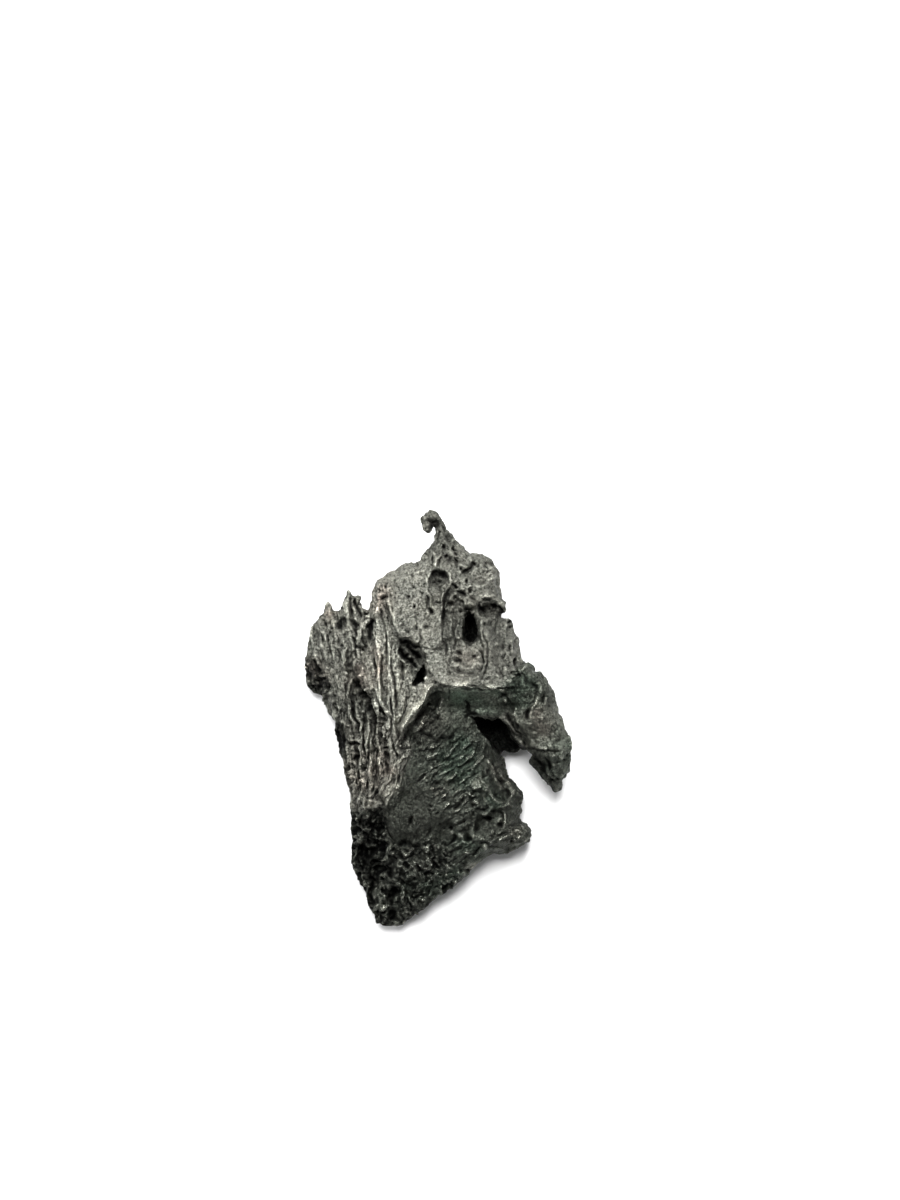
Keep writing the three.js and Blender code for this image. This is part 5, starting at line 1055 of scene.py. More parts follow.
def soften(field, radius):
    """The field blurred over a radius in millimetres."""
    pad = int(3 * radius / CELL) + 1
    wide = np.pad(field, pad, mode="edge")
    rows = np.fft.fftfreq(wide.shape[0])[:, None]
    columns = np.fft.rfftfreq(wide.shape[1])[None, :]
    spread = -2 * (math.pi * radius / CELL) ** 2
    kept = np.fft.rfft2(wide) * np.exp(spread * (rows**2 + columns**2))
    return np.fft.irfft2(kept, wide.shape)[pad:-pad, pad:-pad]


def mottle(random, size):
    """A random field of patches of about that size, spread evenly about zero."""
    field = soften(random.standard_normal(PLAN_X.shape), size / 2)
    return field / field.std()


def facets(random, size, x, y):
    """A random field of flat tilted facets of about that size."""
    u, v = (x - SHEET_X[0]) / size, (y - SHEET_Y[0]) / size
    i, j = np.floor(u).astype(int), np.floor(v).astype(int)
    seeds = random.random((j.max() + 4, i.max() + 4, 5)) - 0.5
    nearest = np.full(x.shape, 9.0)
    field = np.zeros(x.shape)
    for row, column in ((a, b) for a in (-1, 0, 1) for b in (-1, 0, 1)):
        seed = seeds[j + row + 1, i + column + 1]
        du = u - i - column - seed[..., 0] - 0.5
        dv = v - j - row - seed[..., 1] - 0.5
        far = du * du + dv * dv
        tilted = seed[..., 2] + 1.6 * (du * seed[..., 3] + dv * seed[..., 4])
        field = np.where(far < nearest, tilted, field)
        nearest = np.minimum(far, nearest)
    return field / field.std()


def inside(outline):
    """1 in the cells inside a closed outline and 0 outside it."""
    hit = np.zeros(PLAN_X.shape, bool)
    for (x0, y0), (x1, y1) in zip(outline, outline[1:] + outline[:1]):
        if y0 == y1:
            continue
        crosses = (PLAN_Y >= min(y0, y1)) & (PLAN_Y < max(y0, y1))
        hit ^= crosses & (PLAN_X < x0 + (PLAN_Y - y0) * (x1 - x0) / (y1 - y0))
    return hit.astype(float)


def window(low, high):
    """The part of the sheet between two corners."""
    rows = np.searchsorted(SHEET_Y, (low[1], high[1]))
    columns = np.searchsorted(SHEET_X, (low[0], high[0]))
    return slice(*rows), slice(*columns)


def draw_line(field, x, y, width, height, points):
    """Adds a rounded ridge, or a groove, that fades at its ends."""
    points = np.array(points, float)
    reach = 1.6 * width + 0.3
    part = window(points.min(0) - reach, points.max(0) + reach)
    px, py = x[part], y[part]
    near = np.full(px.shape, 1e9)
    along = np.zeros(px.shape)
    steps = np.diff(points, axis=0)
    lengths = np.hypot(steps[:, 0], steps[:, 1])
    passed = 0.0
    for (x0, y0), (dx, dy), length in zip(points, steps, lengths):
        t = np.clip(((px - x0) * dx + (py - y0) * dy) / length**2, 0, 1)
        away = np.hypot(px - x0 - t * dx, py - y0 - t * dy)
        closer = away < near
        near = np.where(closer, away, near)
        along = np.where(closer, (passed + t * length) / lengths.sum(), along)
        passed += length
    fade = np.clip(np.minimum(along, 1 - along) / END_SHARE, 0, 1)
    fade = END_HEIGHT + (1 - END_HEIGHT) * fade * (2 - fade)
    field[part] += height * fade * np.exp(-((1.7 * near / width) ** 1.5))


def sum_of(strokes, x=PLAN_X, y=PLAN_Y):
    """A sheet field of strokes, each a width, a strength and its points."""
    field = np.zeros(PLAN_X.shape)
    for width, strength, points in strokes:
        draw_line(field, x, y, width, strength, points)
    return field


def draw_pit(field, x, y, cx, cy, across, along, depth, lean=0):
    """Sinks an oval pit with a slightly raised rim, or raises a bump."""
    reach = 2.2 * max(across, along)
    part = window((cx - reach, cy - reach), (cx + reach, cy + reach))
    turn = math.radians(lean)
    dx, dy = x[part] - cx, y[part] - cy
    u = (dx * math.cos(turn) - dy * math.sin(turn)) / across
    v = (dx * math.sin(turn) + dy * math.cos(turn)) / along
    far = np.hypot(u, v)
    field[part] -= depth * np.exp(-(far**3))
    if depth > 0:
        field[part] += 0.05 * depth * np.exp(-(((far - 1.35) / 0.3) ** 2))


def scattered_pits(count, x, y):
    """A sheet field of that many small pits in random places."""
    scatter = np.random.default_rng(PIT_SEED)
    field = np.zeros(PLAN_X.shape)
    for _ in range(count):
        cx, cy = (scatter.uniform(0, length) for length in SCATTER_SIZE)
        across = scatter.uniform(0.12, 0.32)
        along = across * scatter.uniform(0.8, 1.8)
        lean = scatter.uniform(0, 180)
        depth = scatter.uniform(0.5, 1.6)
        draw_pit(field, x, y, cx, cy, across, along, depth, lean)
    return field


def zone_fields():
    """Crust, paleness and the depth of grain, lumps and pits, each as a sheet field."""
    fields = [np.full(PLAN_X.shape, value) for value in PLAIN_FACE]
    for _, outline, edge, *values in ZONES:
        share = soften(inside(outline), edge)
        for field, value in zip(fields, values):
            field += share * (value - field)
    return fields


def grain_angle():
    """The direction of the grain in every cell, from the flow lines."""
    east, north = np.zeros(PLAN_X.shape), np.zeros(PLAN_X.shape)
    for flow in FLOWS:
        for (x0, y0), (x1, y1) in zip(flow, flow[1:]):
            twice = 2 * math.atan2(y1 - y0, x1 - x0)
            length = math.hypot(x1 - x0, y1 - y0)
            t = ((PLAN_X - x0) * (x1 - x0) + (PLAN_Y - y0) * (y1 - y0)) / length**2
            t = np.clip(t, 0, 1)
            far = (PLAN_X - x0 - t * (x1 - x0)) ** 2 + (PLAN_Y - y0 - t * (y1 - y0)) ** 2
            weight = 1 / (far + 0.3) ** 2
            east += weight * math.cos(twice)
            north += weight * math.sin(twice)
    return 0.5 * np.arctan2(soften(north, 0.4), soften(east, 0.4))


def combed(field, angle, reach):
    """The field smeared along the grain over a reach in millimetres."""
    total = field.copy()
    cos, sin = np.cos(angle), np.sin(angle)
    for way in (1, -1):
        x, y = PLAN_X.copy(), PLAN_Y.copy()
        last_x, last_y = way * cos, way * sin
        for _ in range(int(reach / CELL)):
            step_x, step_y = read(cos, x, y), read(sin, x, y)
            flip = np.sign(step_x * last_x + step_y * last_y)
            flip[flip == 0] = 1
            last_x, last_y = step_x * flip, step_y * flip
            x += CELL * last_x
            y += CELL * last_y
            total += read(field, x, y)
    return total / total.std()


def flow_coordinates(angle):
    """Two distances in millimetres for every cell: across the grain and along it."""
    upward = np.where(np.sin(angle) < 0, angle + math.pi, angle)
    pad = int(10 / CELL)
    shape = (angle.shape[0] + 2 * pad, angle.shape[1] + 2 * pad)
    north = 2j * math.pi * np.fft.fftfreq(shape[0], CELL)[:, None]
    east = 2j * math.pi * np.fft.rfftfreq(shape[1], CELL)[None, :]
    square = north * north + east * east
    square[0, 0] = 1
    found = []
    for way in ((np.sin(upward), -np.cos(upward)), (np.cos(upward), np.sin(upward))):
        mean = [part.mean() for part in way]
        part_x, part_y = (
            np.fft.rfft2(np.pad(part - middle, pad, mode="edge"))
            for part, middle in zip(way, mean)
        )
        rise = np.fft.irfft2((east * part_x + north * part_y) / square, shape)
        rise = rise[pad:-pad, pad:-pad]
        found.append(rise + mean[0] * PLAN_X + mean[1] * PLAN_Y)
    return found


def fibres(random, angle, crust):
    """Height of the fibres and of the cracks between them; they are short under crust."""
    coarse, fine, short = (
        combed(mottle(random, size), angle, reach) for size, reach in (COARSE, FINE, SHORT)
    )
    coarse *= 1 - 0.6 * crust
    fine += crust * (short - fine)
    cracks = 0.8 * np.exp(-((coarse / 0.18) ** 2)) + 0.9 * np.exp(-((fine / 0.25) ** 2))
    return 0.3 * coarse + 0.55 * fine - 1.1 * cracks


def carve_sheet(settings):
    """Everything that the face carries: its height, finish and grain, as sheet fields."""
    random = np.random.default_rng(GRAIN_SEED)
    crust, pale, grain, lumps, pitted = zone_fields()
    angle = grain_angle()
    height = settings.grain * grain * fibres(random, angle, crust)

    # Lumps, and sharp shards where the crust is broken.
    broken = ease(pitted, 0.2, 0.34)
    wander = 0.1 + 0.22 * pitted + 0.25 * broken
    x = PLAN_X + wander * mottle(random, 1.0)
    y = PLAN_Y + wander * mottle(random, 1.0)
    wobble = PLAN_X + 0.12 * mottle(random, 0.8)
    shards = 0.8 * facets(random, 1.5, wobble, y) + 0.7 * facets(random, 0.6, wobble, PLAN_Y)
    grit, chips = mottle(random, 0.3), mottle(random, 0.9)
    rounded = 0.3 * mottle(random, 0.55) - 0.9 * np.abs(chips) + 0.4 * np.abs(grit)
    swell = 0.35 * mottle(random, 1.3)
    height += settings.lumps * lumps * (swell + rounded + broken * (shards - rounded))
    # Shards are painted paler the higher they stand and darker the lower: painted light and shade.
    pale *= 1 + 0.45 * broken * np.tanh(shards)
    curls = np.exp(-((mottle(random, 1.1) / 0.2) ** 2)) * ease(mottle(random, 1.6), -0.2, 1)
    height -= 0.24 * (1 - crust) * curls

    # The drawn lines and pits, and small pits between them.
    lines = sum_of(LINES, x, y)
    for pit in PITS:
        draw_pit(lines, x, y, *pit)
    small = scattered_pits(settings.pit_count, x, y)
    height += settings.lines * lines * (1 - 0.4 * crust)
    height += settings.pits * pitted * small * (1 - 0.6 * broken)

    # Painted shade darkens what is sunk, and painted highlight brightens what stands proud, where
    # the material also thins the crust.
    proud = height - soften(height, EDGE_REACH)
    hollow = soften(height, HOLLOW_REACH) - height
    shade_marks, bright = sum_of(SHADE_LINES, x, y), sum_of(HIGHLIGHT_LINES, x, y)
    flecks = ease(mottle(random, 0.35), 0.9, 1.9)
    # Painted glints scattered over the broken shards.
    sparks = 1.7 * broken * ease(mottle(random, 0.3), 1.1, 1.9)
    shade_marks = np.clip(shade_marks * (1 + 0.25 * mottle(random, 0.5)), 0, 1) * (1 - 0.7 * flecks)
    bright = np.clip(bright * (1 + 0.3 * mottle(random, 0.6)), 0, 1.8)
    sunk = ease(-proud, 0.05, 0.38)
    # Painted shade in the low clefts between broken shards.
    shade_marks = np.maximum(shade_marks, broken * ease(-shards, 0.5, 1.4))
    # Painted shade in the broad hollows.
    shade_marks = np.maximum(shade_marks, (0.4 - 0.2 * crust) * ease(hollow, 0.25, 1.0))
    worn = np.maximum(ease(proud, 0.05, 0.36) * (1 - 0.65 * broken), sparks)
    green, rust = (
        sum_of(strokes) * (1 + 0.3 * mottle(random, 1.2)) for strokes in (GREEN_LINES, RUST_LINES)
    )
    across, along = flow_coordinates(angle)
    return {
        "height": height,
        "crust": crust,
        "pale": pale,
        "fibrous": np.clip(grain / 0.3, 0, 1),
        "green": np.clip(green, 0, 1),
        "rust": np.clip(rust, 0, 1),
        "sunk": np.maximum(sunk, shade_marks) * np.maximum(1 - bright, 0),
        "worn": np.maximum(worn * (1 - 0.8 * shade_marks), bright),
        "across": across,
        "along": along,
    }


# ------------------------ mesh tools


def only(piece):
    """Deselects everything, then selects and activates one object."""
    bpy.ops.object.select_all(action="DESELECT")
    piece.select_set(True)
    bpy.context.view_layer.objects.active = piece


def apply_modifier(piece, name, kind, **values):
    """Adds a modifier, sets it and applies it."""
    modifier = piece.modifiers.new(name, kind)
    for key, value in values.items():
        setattr(modifier, key, value)
    only(piece)
    bpy.ops.object.modifier_apply(modifier=modifier.name)


def points_of(mesh):
    """The mesh's vertices, as an array in metres."""
    flat = np.empty(len(mesh.vertices) * 3, np.float32)
    mesh.vertices.foreach_get("co", flat)
    return flat.reshape(-1, 3).astype(float)


def normals_of(mesh):
    """The mesh's vertex normals, as an array."""
    flat = np.empty(len(mesh.vertices) * 3, np.float32)
    mesh.vertex_normals.foreach_get("vector", flat)
    return flat.reshape(-1, 3).astype(float)


def set_points(mesh, points):
    """Moves the mesh's vertices."""
    mesh.vertices.foreach_set("co", points.astype(np.float32).ravel())
    mesh.update()


def smoothed(mesh, values, rounds):
    """Values on the vertices, each drawn halfway to the mean of its neighbours every round."""
    edges = np.empty(len(mesh.edges) * 2, np.int32)
    mesh.edges.foreach_get("vertices", edges)
    a, b = edges[0::2], edges[1::2]
    count = len(mesh.vertices)
    degree = np.maximum(np.bincount(a, minlength=count) + np.bincount(b, minlength=count), 1)
    columns = values.reshape(count, -1).copy()
    for _ in range(rounds):
        for k in range(columns.shape[1]):
            column = columns[:, k]
            total = np.bincount(a, column[b], count) + np.bincount(b, column[a], count)
            columns[:, k] = column + 0.5 * (total / degree - column)
    return columns.reshape(values.shape)


def rough(points, size):
    """Fractal roughness of those sizes at the points."""
    scaled = points / MM / np.array(size)
    return np.array([noise.fractal(Vector(p), 0.9, 2.1, 3) for p in scaled.tolist()])


def blank(context, step):
    """A copy of the solid with its triangles joined, meshed anew in even steps."""
    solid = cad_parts[SOLID]
    piece = bpy.data.objects.new("iron_shard", solid.data.copy())
    context.scene.collection.objects.link(piece)
    only(piece)
    bpy.ops.object.mode_set(mode="EDIT")
    bpy.ops.mesh.select_all(action="SELECT")
    bpy.ops.mesh.remove_doubles(threshold=MERGE_GAP)
    bpy.ops.object.mode_set(mode="OBJECT")
    piece.data.materials.clear()
    apply_modifier(piece, "Even mesh", "REMESH", mode="VOXEL", voxel_size=step)
    return piece


def eased(mesh):
    """The mesh's points with the solid's facets smoothed out and the outline nudged."""
    # Height is smoothed far more than plan, so that the outline stays.
    points = smoothed(mesh, points_of(mesh), PLAN_ROUNDS)
    points[:, 2] = smoothed(mesh, points[:, 2], HEIGHT_ROUNDS)
    x, y = to_sheet(points)
    for cx, cy, reach, along_x, along_y in NUDGES:
        share = np.clip(1 - ((x - cx) ** 2 + (y - cy) ** 2) / reach**2, 0, 1) ** 2
        points[:, 0] += along_x * MM * share
        points[:, 1] += along_y * MM * share
    return points


def carved(points, normals, height, side_relief):
    """The points moved by the face's height, and by roughness on the sides and back."""
    facing = ease(normals[:, 2], 0.05, 0.45)
    upward = ease(normals[:, 2], 0.35, 0.8)[:, None]
    way = normals * (1 - upward) + np.array((0, 0, 1)) * upward
    way /= np.linalg.norm(way, axis=1, keepdims=True)
    lift = height * MM * facing
    side = 0.9 * rough(points, SIDE_LUMPS) + 0.25 * rough(points, SIDE_GRIT)
    lift += side_relief * side * (1 - facing)
    ground = ease(points[:, 2] / MM, 0.05, 0.6)
    moved = points + way * (lift * ground)[:, None]
    moved[:, 2] = np.maximum(moved[:, 2], SOLID_BOX[0].z)
    low, high = (np.array(corner) for corner in SOLID_BOX)
    slack = 0.01 * (high - low)
    return np.clip(moved, low - slack * (1, 1, 0), high + slack)


def finish_of(mesh, points, normals, face):
    """What the material reads at every point: the face's finish, painted shade in the mesh's own
    hollows and painted highlight on its edges, and a crust with painted shade underneath.
    """
    # How far each point lies under or over the mean of its surroundings.
    near = ((smoothed(mesh, points, NEAR_ROUNDS) - points) * normals).sum(1) / MM
    wide = ((smoothed(mesh, points, WIDE_ROUNDS) - points) * normals).sum(1) / MM
    depth = 3.0 * near + 0.7 * wide
    under = 1 - ease(normals[:, 2], -0.1, 0.25)
    seen = ease(normals[:, 2], -0.45, -0.05)
    # Hollows of the mesh get painted shade and its edges painted highlight; what faces down gets
    # crust and painted shade.
    finish = {
        "sunk": np.maximum(face["sunk"] * seen, ease(depth, 0.05, 0.6)),
        "worn": np.maximum(face["worn"] * seen,
                           ease(-depth, 0.1, 0.8) * (1 - 0.8 * seen * face["sunk"])),
        "crust": face["crust"] * (1 - under) + UNDER_CRUST * under,
        "pale": face["pale"] * (1 - under) + UNDER_PALE * under,
    }
    for name in ("fibrous", "green", "rust", "across", "along"):
        finish[name] = face[name]
    return finish


def set_attribute(mesh, name, values):
    """Stores one number per vertex for the materials to read."""
    attribute = mesh.attributes.new(name, "FLOAT", "POINT")
    attribute.data.foreach_set("value", np.asarray(values, np.float32))


def thin_out(piece, normals, most):
    """Thins the mesh to that many triangles, the back more than the face and sides."""
    faces = len(piece.data.polygons) * 2
    if faces <= most:
        return
    group = piece.vertex_groups.new(name="thin")
    back = normals[:, 2] < BACK_TILT
    for share, part in ((1.0, back), (0.25, ~back)):
        group.add(np.flatnonzero(part).tolist(), share, "REPLACE")
    apply_modifier(piece, "Thin out", "DECIMATE", ratio=most / faces,
                   vertex_group=group.name, vertex_group_factor=0.08)
    piece.vertex_groups.clear()
    points = points_of(piece.data)
    points[:, 2] = np.maximum(points[:, 2], SOLID_BOX[0].z)
    set_points(piece.data, points)


# ------------------------ material


def node(tree, kind, place=(0, 0), **values):
    """Adds a node and sets its unlinked inputs."""
    made = tree.nodes.new(kind)
    made.location = place
    for key, value in values.items():
        made.inputs[key].default_value = value
    return made


def fill(tree, socket, value):
    """Links a socket to an input, or sets the input to a number or colour."""
    if isinstance(value, bpy.types.NodeSocket):
        tree.links.new(value, socket)
    else:
        socket.default_value = value


def math_node(tree, operation, first, second=None, clamp=False):
    """A math node of one or two inputs, each a socket or a number."""
    made = tree.nodes.new("ShaderNodeMath")
    made.operation, made.use_clamp = operation, clamp
    fill(tree, made.inputs[0], first)
    if second is not None:
        fill(tree, made.inputs[1], second)
    return made.outputs[0]


def times(tree, first, second, clamp=False):
    """One input times the other."""
    return math_node(tree, "MULTIPLY", first, second, clamp)


def plus(tree, first, second):
    """One input plus the other."""
    return math_node(tree, "ADD", first, second)


def minus(tree, first, second, clamp=False):
    """One input less the other."""
    return math_node(tree, "SUBTRACT", first, second, clamp)


def at_least(tree, value, low):
    """The larger of two inputs."""
    return math_node(tree, "MAXIMUM", value, low)


def summed(tree, total, *parts):
    """A total plus every part times its share."""
    for part, share in parts:
        total = plus(tree, total, times(tree, part, share))
    return total


def mixed(tree, share, first, second, blend="MIX"):
    """A colour mix; each argument is a socket or a value."""
    made = tree.nodes.new("ShaderNodeMix")
    made.data_type, made.blend_type = "RGBA", blend
    for name, value in (("Factor_Float", share), ("A_Color", first), ("B_Color", second)):
        fill(tree, next(s for s in made.inputs if s.identifier == name), value)
    return next(s for s in made.outputs if s.identifier == "Result_Color")


def attribute_of(tree, name):
    """The socket of a number stored on the vertices."""
    made = tree.nodes.new("ShaderNodeAttribute")
    made.attribute_name = name
    return made.outputs["Fac"]


def noise_of(tree, place, scale, detail, roughness=0.5):
    """The value of a noise texture at a place."""
    made = node(tree, "ShaderNodeTexNoise", Scale=scale, Detail=detail, Roughness=roughness)
    tree.links.new(place, made.inputs["Vector"])
    return made.outputs["Fac"]


def grain_place(tree, place):
    """A place that runs along the grain of the metal, in millimetres."""
    split = node(tree, "ShaderNodeSeparateXYZ")
    tree.links.new(place, split.inputs[0])
    joined = node(tree, "ShaderNodeCombineXYZ")
    parts = (
        attribute_of(tree, "across"),
        times(tree, attribute_of(tree, "along"), 0.2),
        times(tree, split.outputs["Z"], 0.45 / MM),
    )
    for part, socket in zip(parts, joined.inputs):
        tree.links.new(part, socket)
    return joined.outputs[0]


def band(tree, value, width):
    """1 where a noise passes its middle value, falling to 0 at a width from it."""
    away = math_node(tree, "ABSOLUTE", minus(tree, value, 0.5))
    return minus(tree, 1.0, math_node(tree, "DIVIDE", away, width), clamp=True)


def iron_material(settings):
    """Bare torn nickel-iron, under a dark glossy crust where the crust attribute says."""
    material = bpy.data.materials.new("Meteoritic iron")
    material.use_nodes = True
    tree = material.node_tree
    tree.nodes.clear()
    link = tree.links.new
    output = node(tree, "ShaderNodeOutputMaterial", (900, 0))
    shader = node(tree, "ShaderNodeBsdfPrincipled", (600, 0), Metallic=settings.metallic)
    shader.inputs["Specular IOR Level"].default_value = 0.3
    shader.inputs["Specular Tint"].default_value = (0.5, 0.5, 0.5, 1)
    link(shader.outputs["BSDF"], output.inputs["Surface"])

    place = node(tree, "ShaderNodeTexCoord", (-1400, 0)).outputs["Object"]
    grain = grain_place(tree, place)
    crust, pale, sunk, worn, fibrous = (
        attribute_of(tree, name) for name in ("crust", "pale", "sunk", "worn", "fibrous")
    )
    patches = noise_of(tree, place, PATCHES, 5, 0.55)
    specks = noise_of(tree, place, SPECKS, 3, 0.7)
    streaks = noise_of(tree, grain, STREAKS, 3, 0.6)
    cracks = band(tree, noise_of(tree, grain, CRACKS, 2), 0.06)
    hairlines = band(tree, noise_of(tree, grain, HAIRLINES, 2), 0.09)
    cracks = plus(tree, cracks, times(tree, hairlines, 0.7))
    cracks = times(tree, cracks, at_least(tree, fibrous, 0.35))
    # Painted glints: sparse bright specks added to the colour.
    glints = minus(tree, noise_of(tree, place, GLINTS, 1), 0.62)
    glints = times(tree, at_least(tree, glints, 0.0), 7.0)
    pores = band(tree, noise_of(tree, place, PORES, 2), 0.03)

    # Colour: stained iron, with tinted crust over it that thins where the ridges carry wear and
    # painted highlight.
    rust = plus(tree, attribute_of(tree, "rust"), 0.35)
    rust = times(tree, rust, times(tree, patches, 1.3), clamp=True)
    green = plus(tree, attribute_of(tree, "green"), 0.35)
    green = times(tree, green, times(tree, patches, 1.6), clamp=True)
    bare = mixed(tree, rust, settings.iron_colour, settings.rust_colour)
    skin = mixed(tree, green, settings.crust_colour, settings.green_colour)
    skin = mixed(tree, times(tree, rust, 0.6), skin, settings.brown_colour)
    cover = minus(tree, 1.0, times(tree, worn, 0.5))
    colour = mixed(tree, times(tree, crust, cover), bare, skin)

    # Shade: speckled, with painted shade in cracks and pores and where it is sunk, painted glints,
    # and painted highlight along the ridges.
    shade = summed(tree, times(tree, specks, 4.4), (streaks, 0.8), (cracks, -0.5), (pores, -0.35))
    shade = at_least(tree, plus(tree, plus(tree, shade, glints), -1.5), 0.06)
    shade = times(tree, shade, plus(tree, times(tree, patches, 0.7), 0.65))
    unshaded = minus(tree, 1.0, times(tree, sunk, settings.groove_shade))
    shade = times(tree, shade, times(tree, unshaded, pale))
    # Painted highlight along the ridges, broken into grains.
    gleam = plus(tree, times(tree, pale, 0.5), 0.55)
    gleam = times(tree, gleam, times(tree, worn, settings.edge_highlight))
    grains = minus(tree, times(tree, specks, 4.0), 1.0)
    gleam = times(tree, gleam, at_least(tree, grains, 0.2))
    shade = plus(tree, shade, gleam)
    grey = node(tree, "ShaderNodeCombineColor")
    for channel in grey.inputs:
        link(shade, channel)
    link(mixed(tree, 1.0, colour, grey.outputs[0], "MULTIPLY"), shader.inputs["Base Color"])

    gloss_change = settings.crust_roughness - settings.iron_roughness
    dull = plus(tree, times(tree, crust, gloss_change), settings.iron_roughness)
    dull = summed(tree, dull, (patches, 0.2), (sunk, 0.45), (worn, -0.1))
    link(minus(tree, dull, 0.1, clamp=True), shader.inputs["Roughness"])

    # Fine relief: rough and gritty, ribbed and cracked where the metal is fibrous.
    relief = times(tree, noise_of(tree, place, ROUGH, 5, 0.68), 2.2)
    relief = plus(tree, relief, noise_of(tree, place, GRIT, 2, 0.6))
    relief = times(tree, relief, minus(tree, 1.0, times(tree, fibrous, 0.5)))
    ribs = times(tree, plus(tree, streaks, noise_of(tree, grain, RIBS, 2)), fibrous)
    relief = summed(tree, relief, (ribs, 2.0), (cracks, -0.5), (pores, -0.45))
    bump = node(tree, "ShaderNodeBump", (300, -300), Strength=settings.fine_bump,
                Distance=BUMP_DISTANCE)
    link(relief, bump.inputs["Height"])
    link(bump.outputs["Normal"], shader.inputs["Normal"])
    return material


def plain_material(name, colour, roughness):
    """A plain matt finish for the stage."""
    material = bpy.data.materials.new(name)
    material.use_nodes = True
    shader = material.node_tree.nodes["Principled BSDF"]
    shader.inputs["Base Color"].default_value = colour
    shader.inputs["Roughness"].default_value = roughness
    return material


# ------------------------ settings


class ShardSettings(bpy.types.PropertyGroup):
    """Sizes and finish of the shard."""

    step: bpy.props.FloatProperty(
        name="Mesh step", description="Spacing of the carved mesh before it is thinned",
        default=0.125 * MM, min=0.1 * MM, max=1 * MM, precision=6, unit="LENGTH")
    triangles: bpy.props.IntProperty(
        name="Triangles", description="Most triangles that the finished shard keeps",
        default=196000, min=20000, max=199000)
    lines: bpy.props.FloatProperty(
        name="Ridges and grooves", description="Depth of the drawn ridges and grooves",
        default=1.75, min=0, max=3, subtype="FACTOR")
    grain: bpy.props.FloatProperty(
        name="Grain", description="Depth of the fibrous grain",
        default=1.0, min=0, max=2, subtype="FACTOR")
    lumps: bpy.props.FloatProperty(
        name="Lumps", description="Depth of the uneven lumps",
        default=1.0, min=0, max=2, subtype="FACTOR")
    pits: bpy.props.FloatProperty(
        name="Small pits", description="Depth of the scattered pits",
        default=1.0, min=0, max=2, subtype="FACTOR")
    pit_count: bpy.props.IntProperty(
        name="Pit count", description="How many small pits are scattered",
        default=2600, min=0, max=6000)
    side_relief: bpy.props.FloatProperty(
        name="Side relief", description="Depth of the roughness on the sides and back",
        default=0.5 * MM, min=0, max=1 * MM, precision=6, unit="LENGTH")
    iron_colour: bpy.props.FloatVectorProperty(
        name="Iron", description="Colour of the bare iron", size=4,
        default=(0.176, 0.183, 0.158, 1), min=0, max=1, subtype="COLOR")
    rust_colour: bpy.props.FloatVectorProperty(
        name="Stain", description="Colour of the warm stain on the bare iron", size=4,
        default=(0.172, 0.151, 0.126, 1), min=0, max=1, subtype="COLOR")
    crust_colour: bpy.props.FloatVectorProperty(
        name="Crust", description="Colour of the dark crust", size=4,
        default=(0.082, 0.083, 0.071, 1), min=0, max=1, subtype="COLOR")
    green_colour: bpy.props.FloatVectorProperty(
        name="Green crust", description="Colour of the greenish patches of crust", size=4,
        default=(0.058, 0.085, 0.063, 1), min=0, max=1, subtype="COLOR")
    brown_colour: bpy.props.FloatVectorProperty(
        name="Brown crust", description="Colour of the rusty patches of crust", size=4,
        default=(0.096, 0.083, 0.072, 1), min=0, max=1, subtype="COLOR")
    metallic: bpy.props.FloatProperty(
        name="Metal", description="How metallic the surface is",
        default=0.85, min=0, max=1, subtype="FACTOR")
    iron_roughness: bpy.props.FloatProperty(
        name="Iron roughness", description="Roughness of the bare iron",
        default=0.4, min=0, max=1, subtype="FACTOR")
    crust_roughness: bpy.props.FloatProperty(
        name="Crust roughness", description="Roughness of the crust",
        default=0.3, min=0, max=1, subtype="FACTOR")
    fine_bump: bpy.props.FloatProperty(
        name="Fine bump", description="Strength of the finest roughness",
        default=0.6, min=0, max=1, subtype="FACTOR")
    # Strength of the painted shade in grooves and pits.
    groove_shade: bpy.props.FloatProperty(
        name="Dark grooves", description="How dark the grooves and pits are",
        default=0.95, min=0, max=1, subtype="FACTOR")
    # Strength of the painted highlight on the ridges.
    edge_highlight: bpy.props.FloatProperty(
        name="Bright edges", description="How bright the worn ridges are",
        default=1.3, min=0, max=2, subtype="FACTOR")


class StageSettings(bpy.types.PropertyGroup):
    """Floor, lights and camera."""

    floor_size: bpy.props.FloatProperty(
        name="Floor", description="Side of the floor", default=3.0, min=0.5, max=10,
        unit="LENGTH")
    floor_colour: bpy.props.FloatVectorProperty(
        name="Floor colour", description="Colour of the floor", size=4,
        default=(0.86, 0.86, 0.86, 1), min=0, max=1, subtype="COLOR")
    key_power: bpy.props.FloatProperty(
        name="Key light", description="Power of the large soft light", default=17.0, min=0,
        max=100, unit="POWER")
    fill_power: bpy.props.FloatProperty(
        name="Fill light", description="Power of the light from the other side", default=1.6,
        min=0, max=100, unit="POWER")
    glint_power: bpy.props.FloatProperty(
        name="Glint light", description="Power of the small light that makes the edges gleam",
        default=3.0, min=0, max=100, unit="POWER")
    sky: bpy.props.FloatProperty(
        name="Surroundings", description="Brightness of the room", default=0.25, min=0,
        max=5)
    camera_height: bpy.props.FloatProperty(
        name="Camera height", description="Height of the camera over the floor",
        default=500 * MM, min=0.1, max=5, unit="LENGTH")
    frame_height: bpy.props.FloatProperty(
        name="Framed length", description="Length of floor that the view is tall",
        default=173.9 * MM, min=0.05, max=1, unit="LENGTH")


# ------------------------ operators


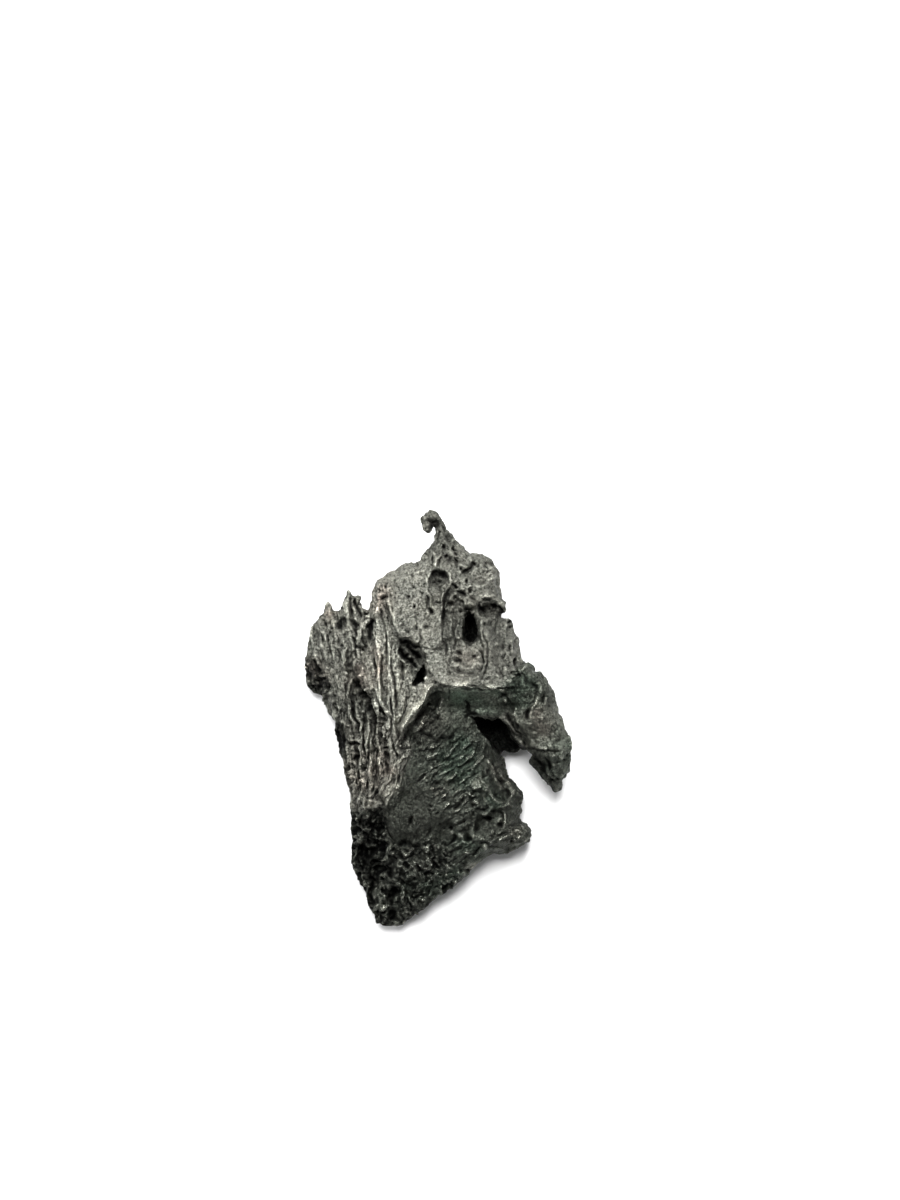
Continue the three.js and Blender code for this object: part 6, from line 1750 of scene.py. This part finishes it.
class METEORITE_OT_shard(bpy.types.Operator):
    """Carve the shard from its solid and give it its iron finish"""

    bl_idname = "meteorite.shard"
    bl_label = "Carve the shard"

    def execute(self, context):
        settings = context.scene.shard
        piece = blank(context, settings.step)
        mesh = piece.data
        points = eased(mesh)
        set_points(mesh, points)

        x, y = to_sheet(points)
        face = {name: read(field, x, y) for name, field in carve_sheet(settings).items()}
        normals = smoothed(mesh, normals_of(mesh), NORMAL_ROUNDS)
        normals /= np.maximum(np.linalg.norm(normals, axis=1, keepdims=True), 1e-6)
        points = carved(points, normals, face["height"], settings.side_relief)
        set_points(mesh, points)

        normals = normals_of(mesh)
        for name, values in finish_of(mesh, points, normals, face).items():
            set_attribute(mesh, name, values)
        thin_out(piece, normals, settings.triangles)
        only(piece)
        bpy.ops.object.shade_smooth()
        piece.data.materials.append(iron_material(settings))
        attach(piece, "root")
        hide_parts(SOLID)
        return {"FINISHED"}


class METEORITE_OT_stage(bpy.types.Operator):
    """Lay the floor, hang the lights and set the camera over the shard"""

    bl_idname = "meteorite.stage"
    bl_label = "Set the stage"

    def execute(self, context):
        settings = context.scene.stage
        bpy.ops.object.select_all(action="DESELECT")
        bpy.ops.mesh.primitive_plane_add(size=settings.floor_size, location=(0, 0, 0))
        floor = context.active_object
        floor.name = "studio_floor"
        floor.data.materials.append(plain_material("Pale floor", settings.floor_colour, 0.9))

        self.add_light("Key", (-0.06, 0.4, 0.8), 0.45, settings.key_power)
        self.add_light("Fill", (-0.45, 0.1, 0.35), 0.3, settings.fill_power)
        self.add_light("Glint", (0.1, 0.5, 0.42), 0.1, settings.glint_power)

        world = bpy.data.worlds.new("Room")
        world.use_nodes = True
        backdrop = world.node_tree.nodes["Background"]
        backdrop.inputs["Color"].default_value = (1, 1, 1, 1)
        backdrop.inputs["Strength"].default_value = settings.sky
        context.scene.world = world

        above = (*VIEW_MIDDLE, settings.camera_height)
        bpy.ops.object.camera_add(location=above, rotation=(0, 0, 0))
        camera = context.active_object
        camera.name = "Camera"
        camera.data.sensor_width = SENSOR
        camera.data.lens = SENSOR * settings.camera_height / settings.frame_height
        camera.data.clip_start = 0.01
        camera.data.clip_end = 20
        context.scene.camera = camera
        context.scene.view_settings.view_transform = "Standard"
        context.scene.view_settings.look = "None"
        return {"FINISHED"}

    def add_light(self, name, place, size, power):
        """Hangs a square soft light that points at the shard."""
        towards = Vector(place).to_track_quat("Z", "Y").to_euler()
        bpy.ops.object.light_add(type="AREA", location=place, rotation=towards)
        light = bpy.context.active_object
        light.name = name
        light.data.size = size
        light.data.energy = power


class METEORITE_PT_panel(bpy.types.Panel):
    """Lists the steps and settings in the sidebar"""

    bl_label = "Iron Meteorite"
    bl_idname = "METEORITE_PT_panel"
    bl_space_type = "VIEW_3D"
    bl_region_type = "UI"
    bl_category = "Meteorite"

    def draw(self, context):
        for operator, settings in (
            (METEORITE_OT_shard, context.scene.shard),
            (METEORITE_OT_stage, context.scene.stage),
        ):
            self.layout.operator(operator.bl_idname)
            for name in settings.__annotations__:
                self.layout.prop(settings, name)


CLASSES = (
    ShardSettings,
    StageSettings,
    METEORITE_OT_shard,
    METEORITE_OT_stage,
    METEORITE_PT_panel,
)


def register():
    """Adds the settings, operators and panel."""
    for item in CLASSES:
        bpy.utils.register_class(item)
    bpy.types.Scene.shard = bpy.props.PointerProperty(type=ShardSettings)
    bpy.types.Scene.stage = bpy.props.PointerProperty(type=StageSettings)


def unregister():
    """Removes them again."""
    del bpy.types.Scene.stage
    del bpy.types.Scene.shard
    for item in reversed(CLASSES):
        bpy.utils.unregister_class(item)


def main():
    """Builds the shard and the stage."""
    register()
    bpy.ops.meteorite.shard()
    bpy.ops.meteorite.stage()


if __name__ == "__main__":
    main()
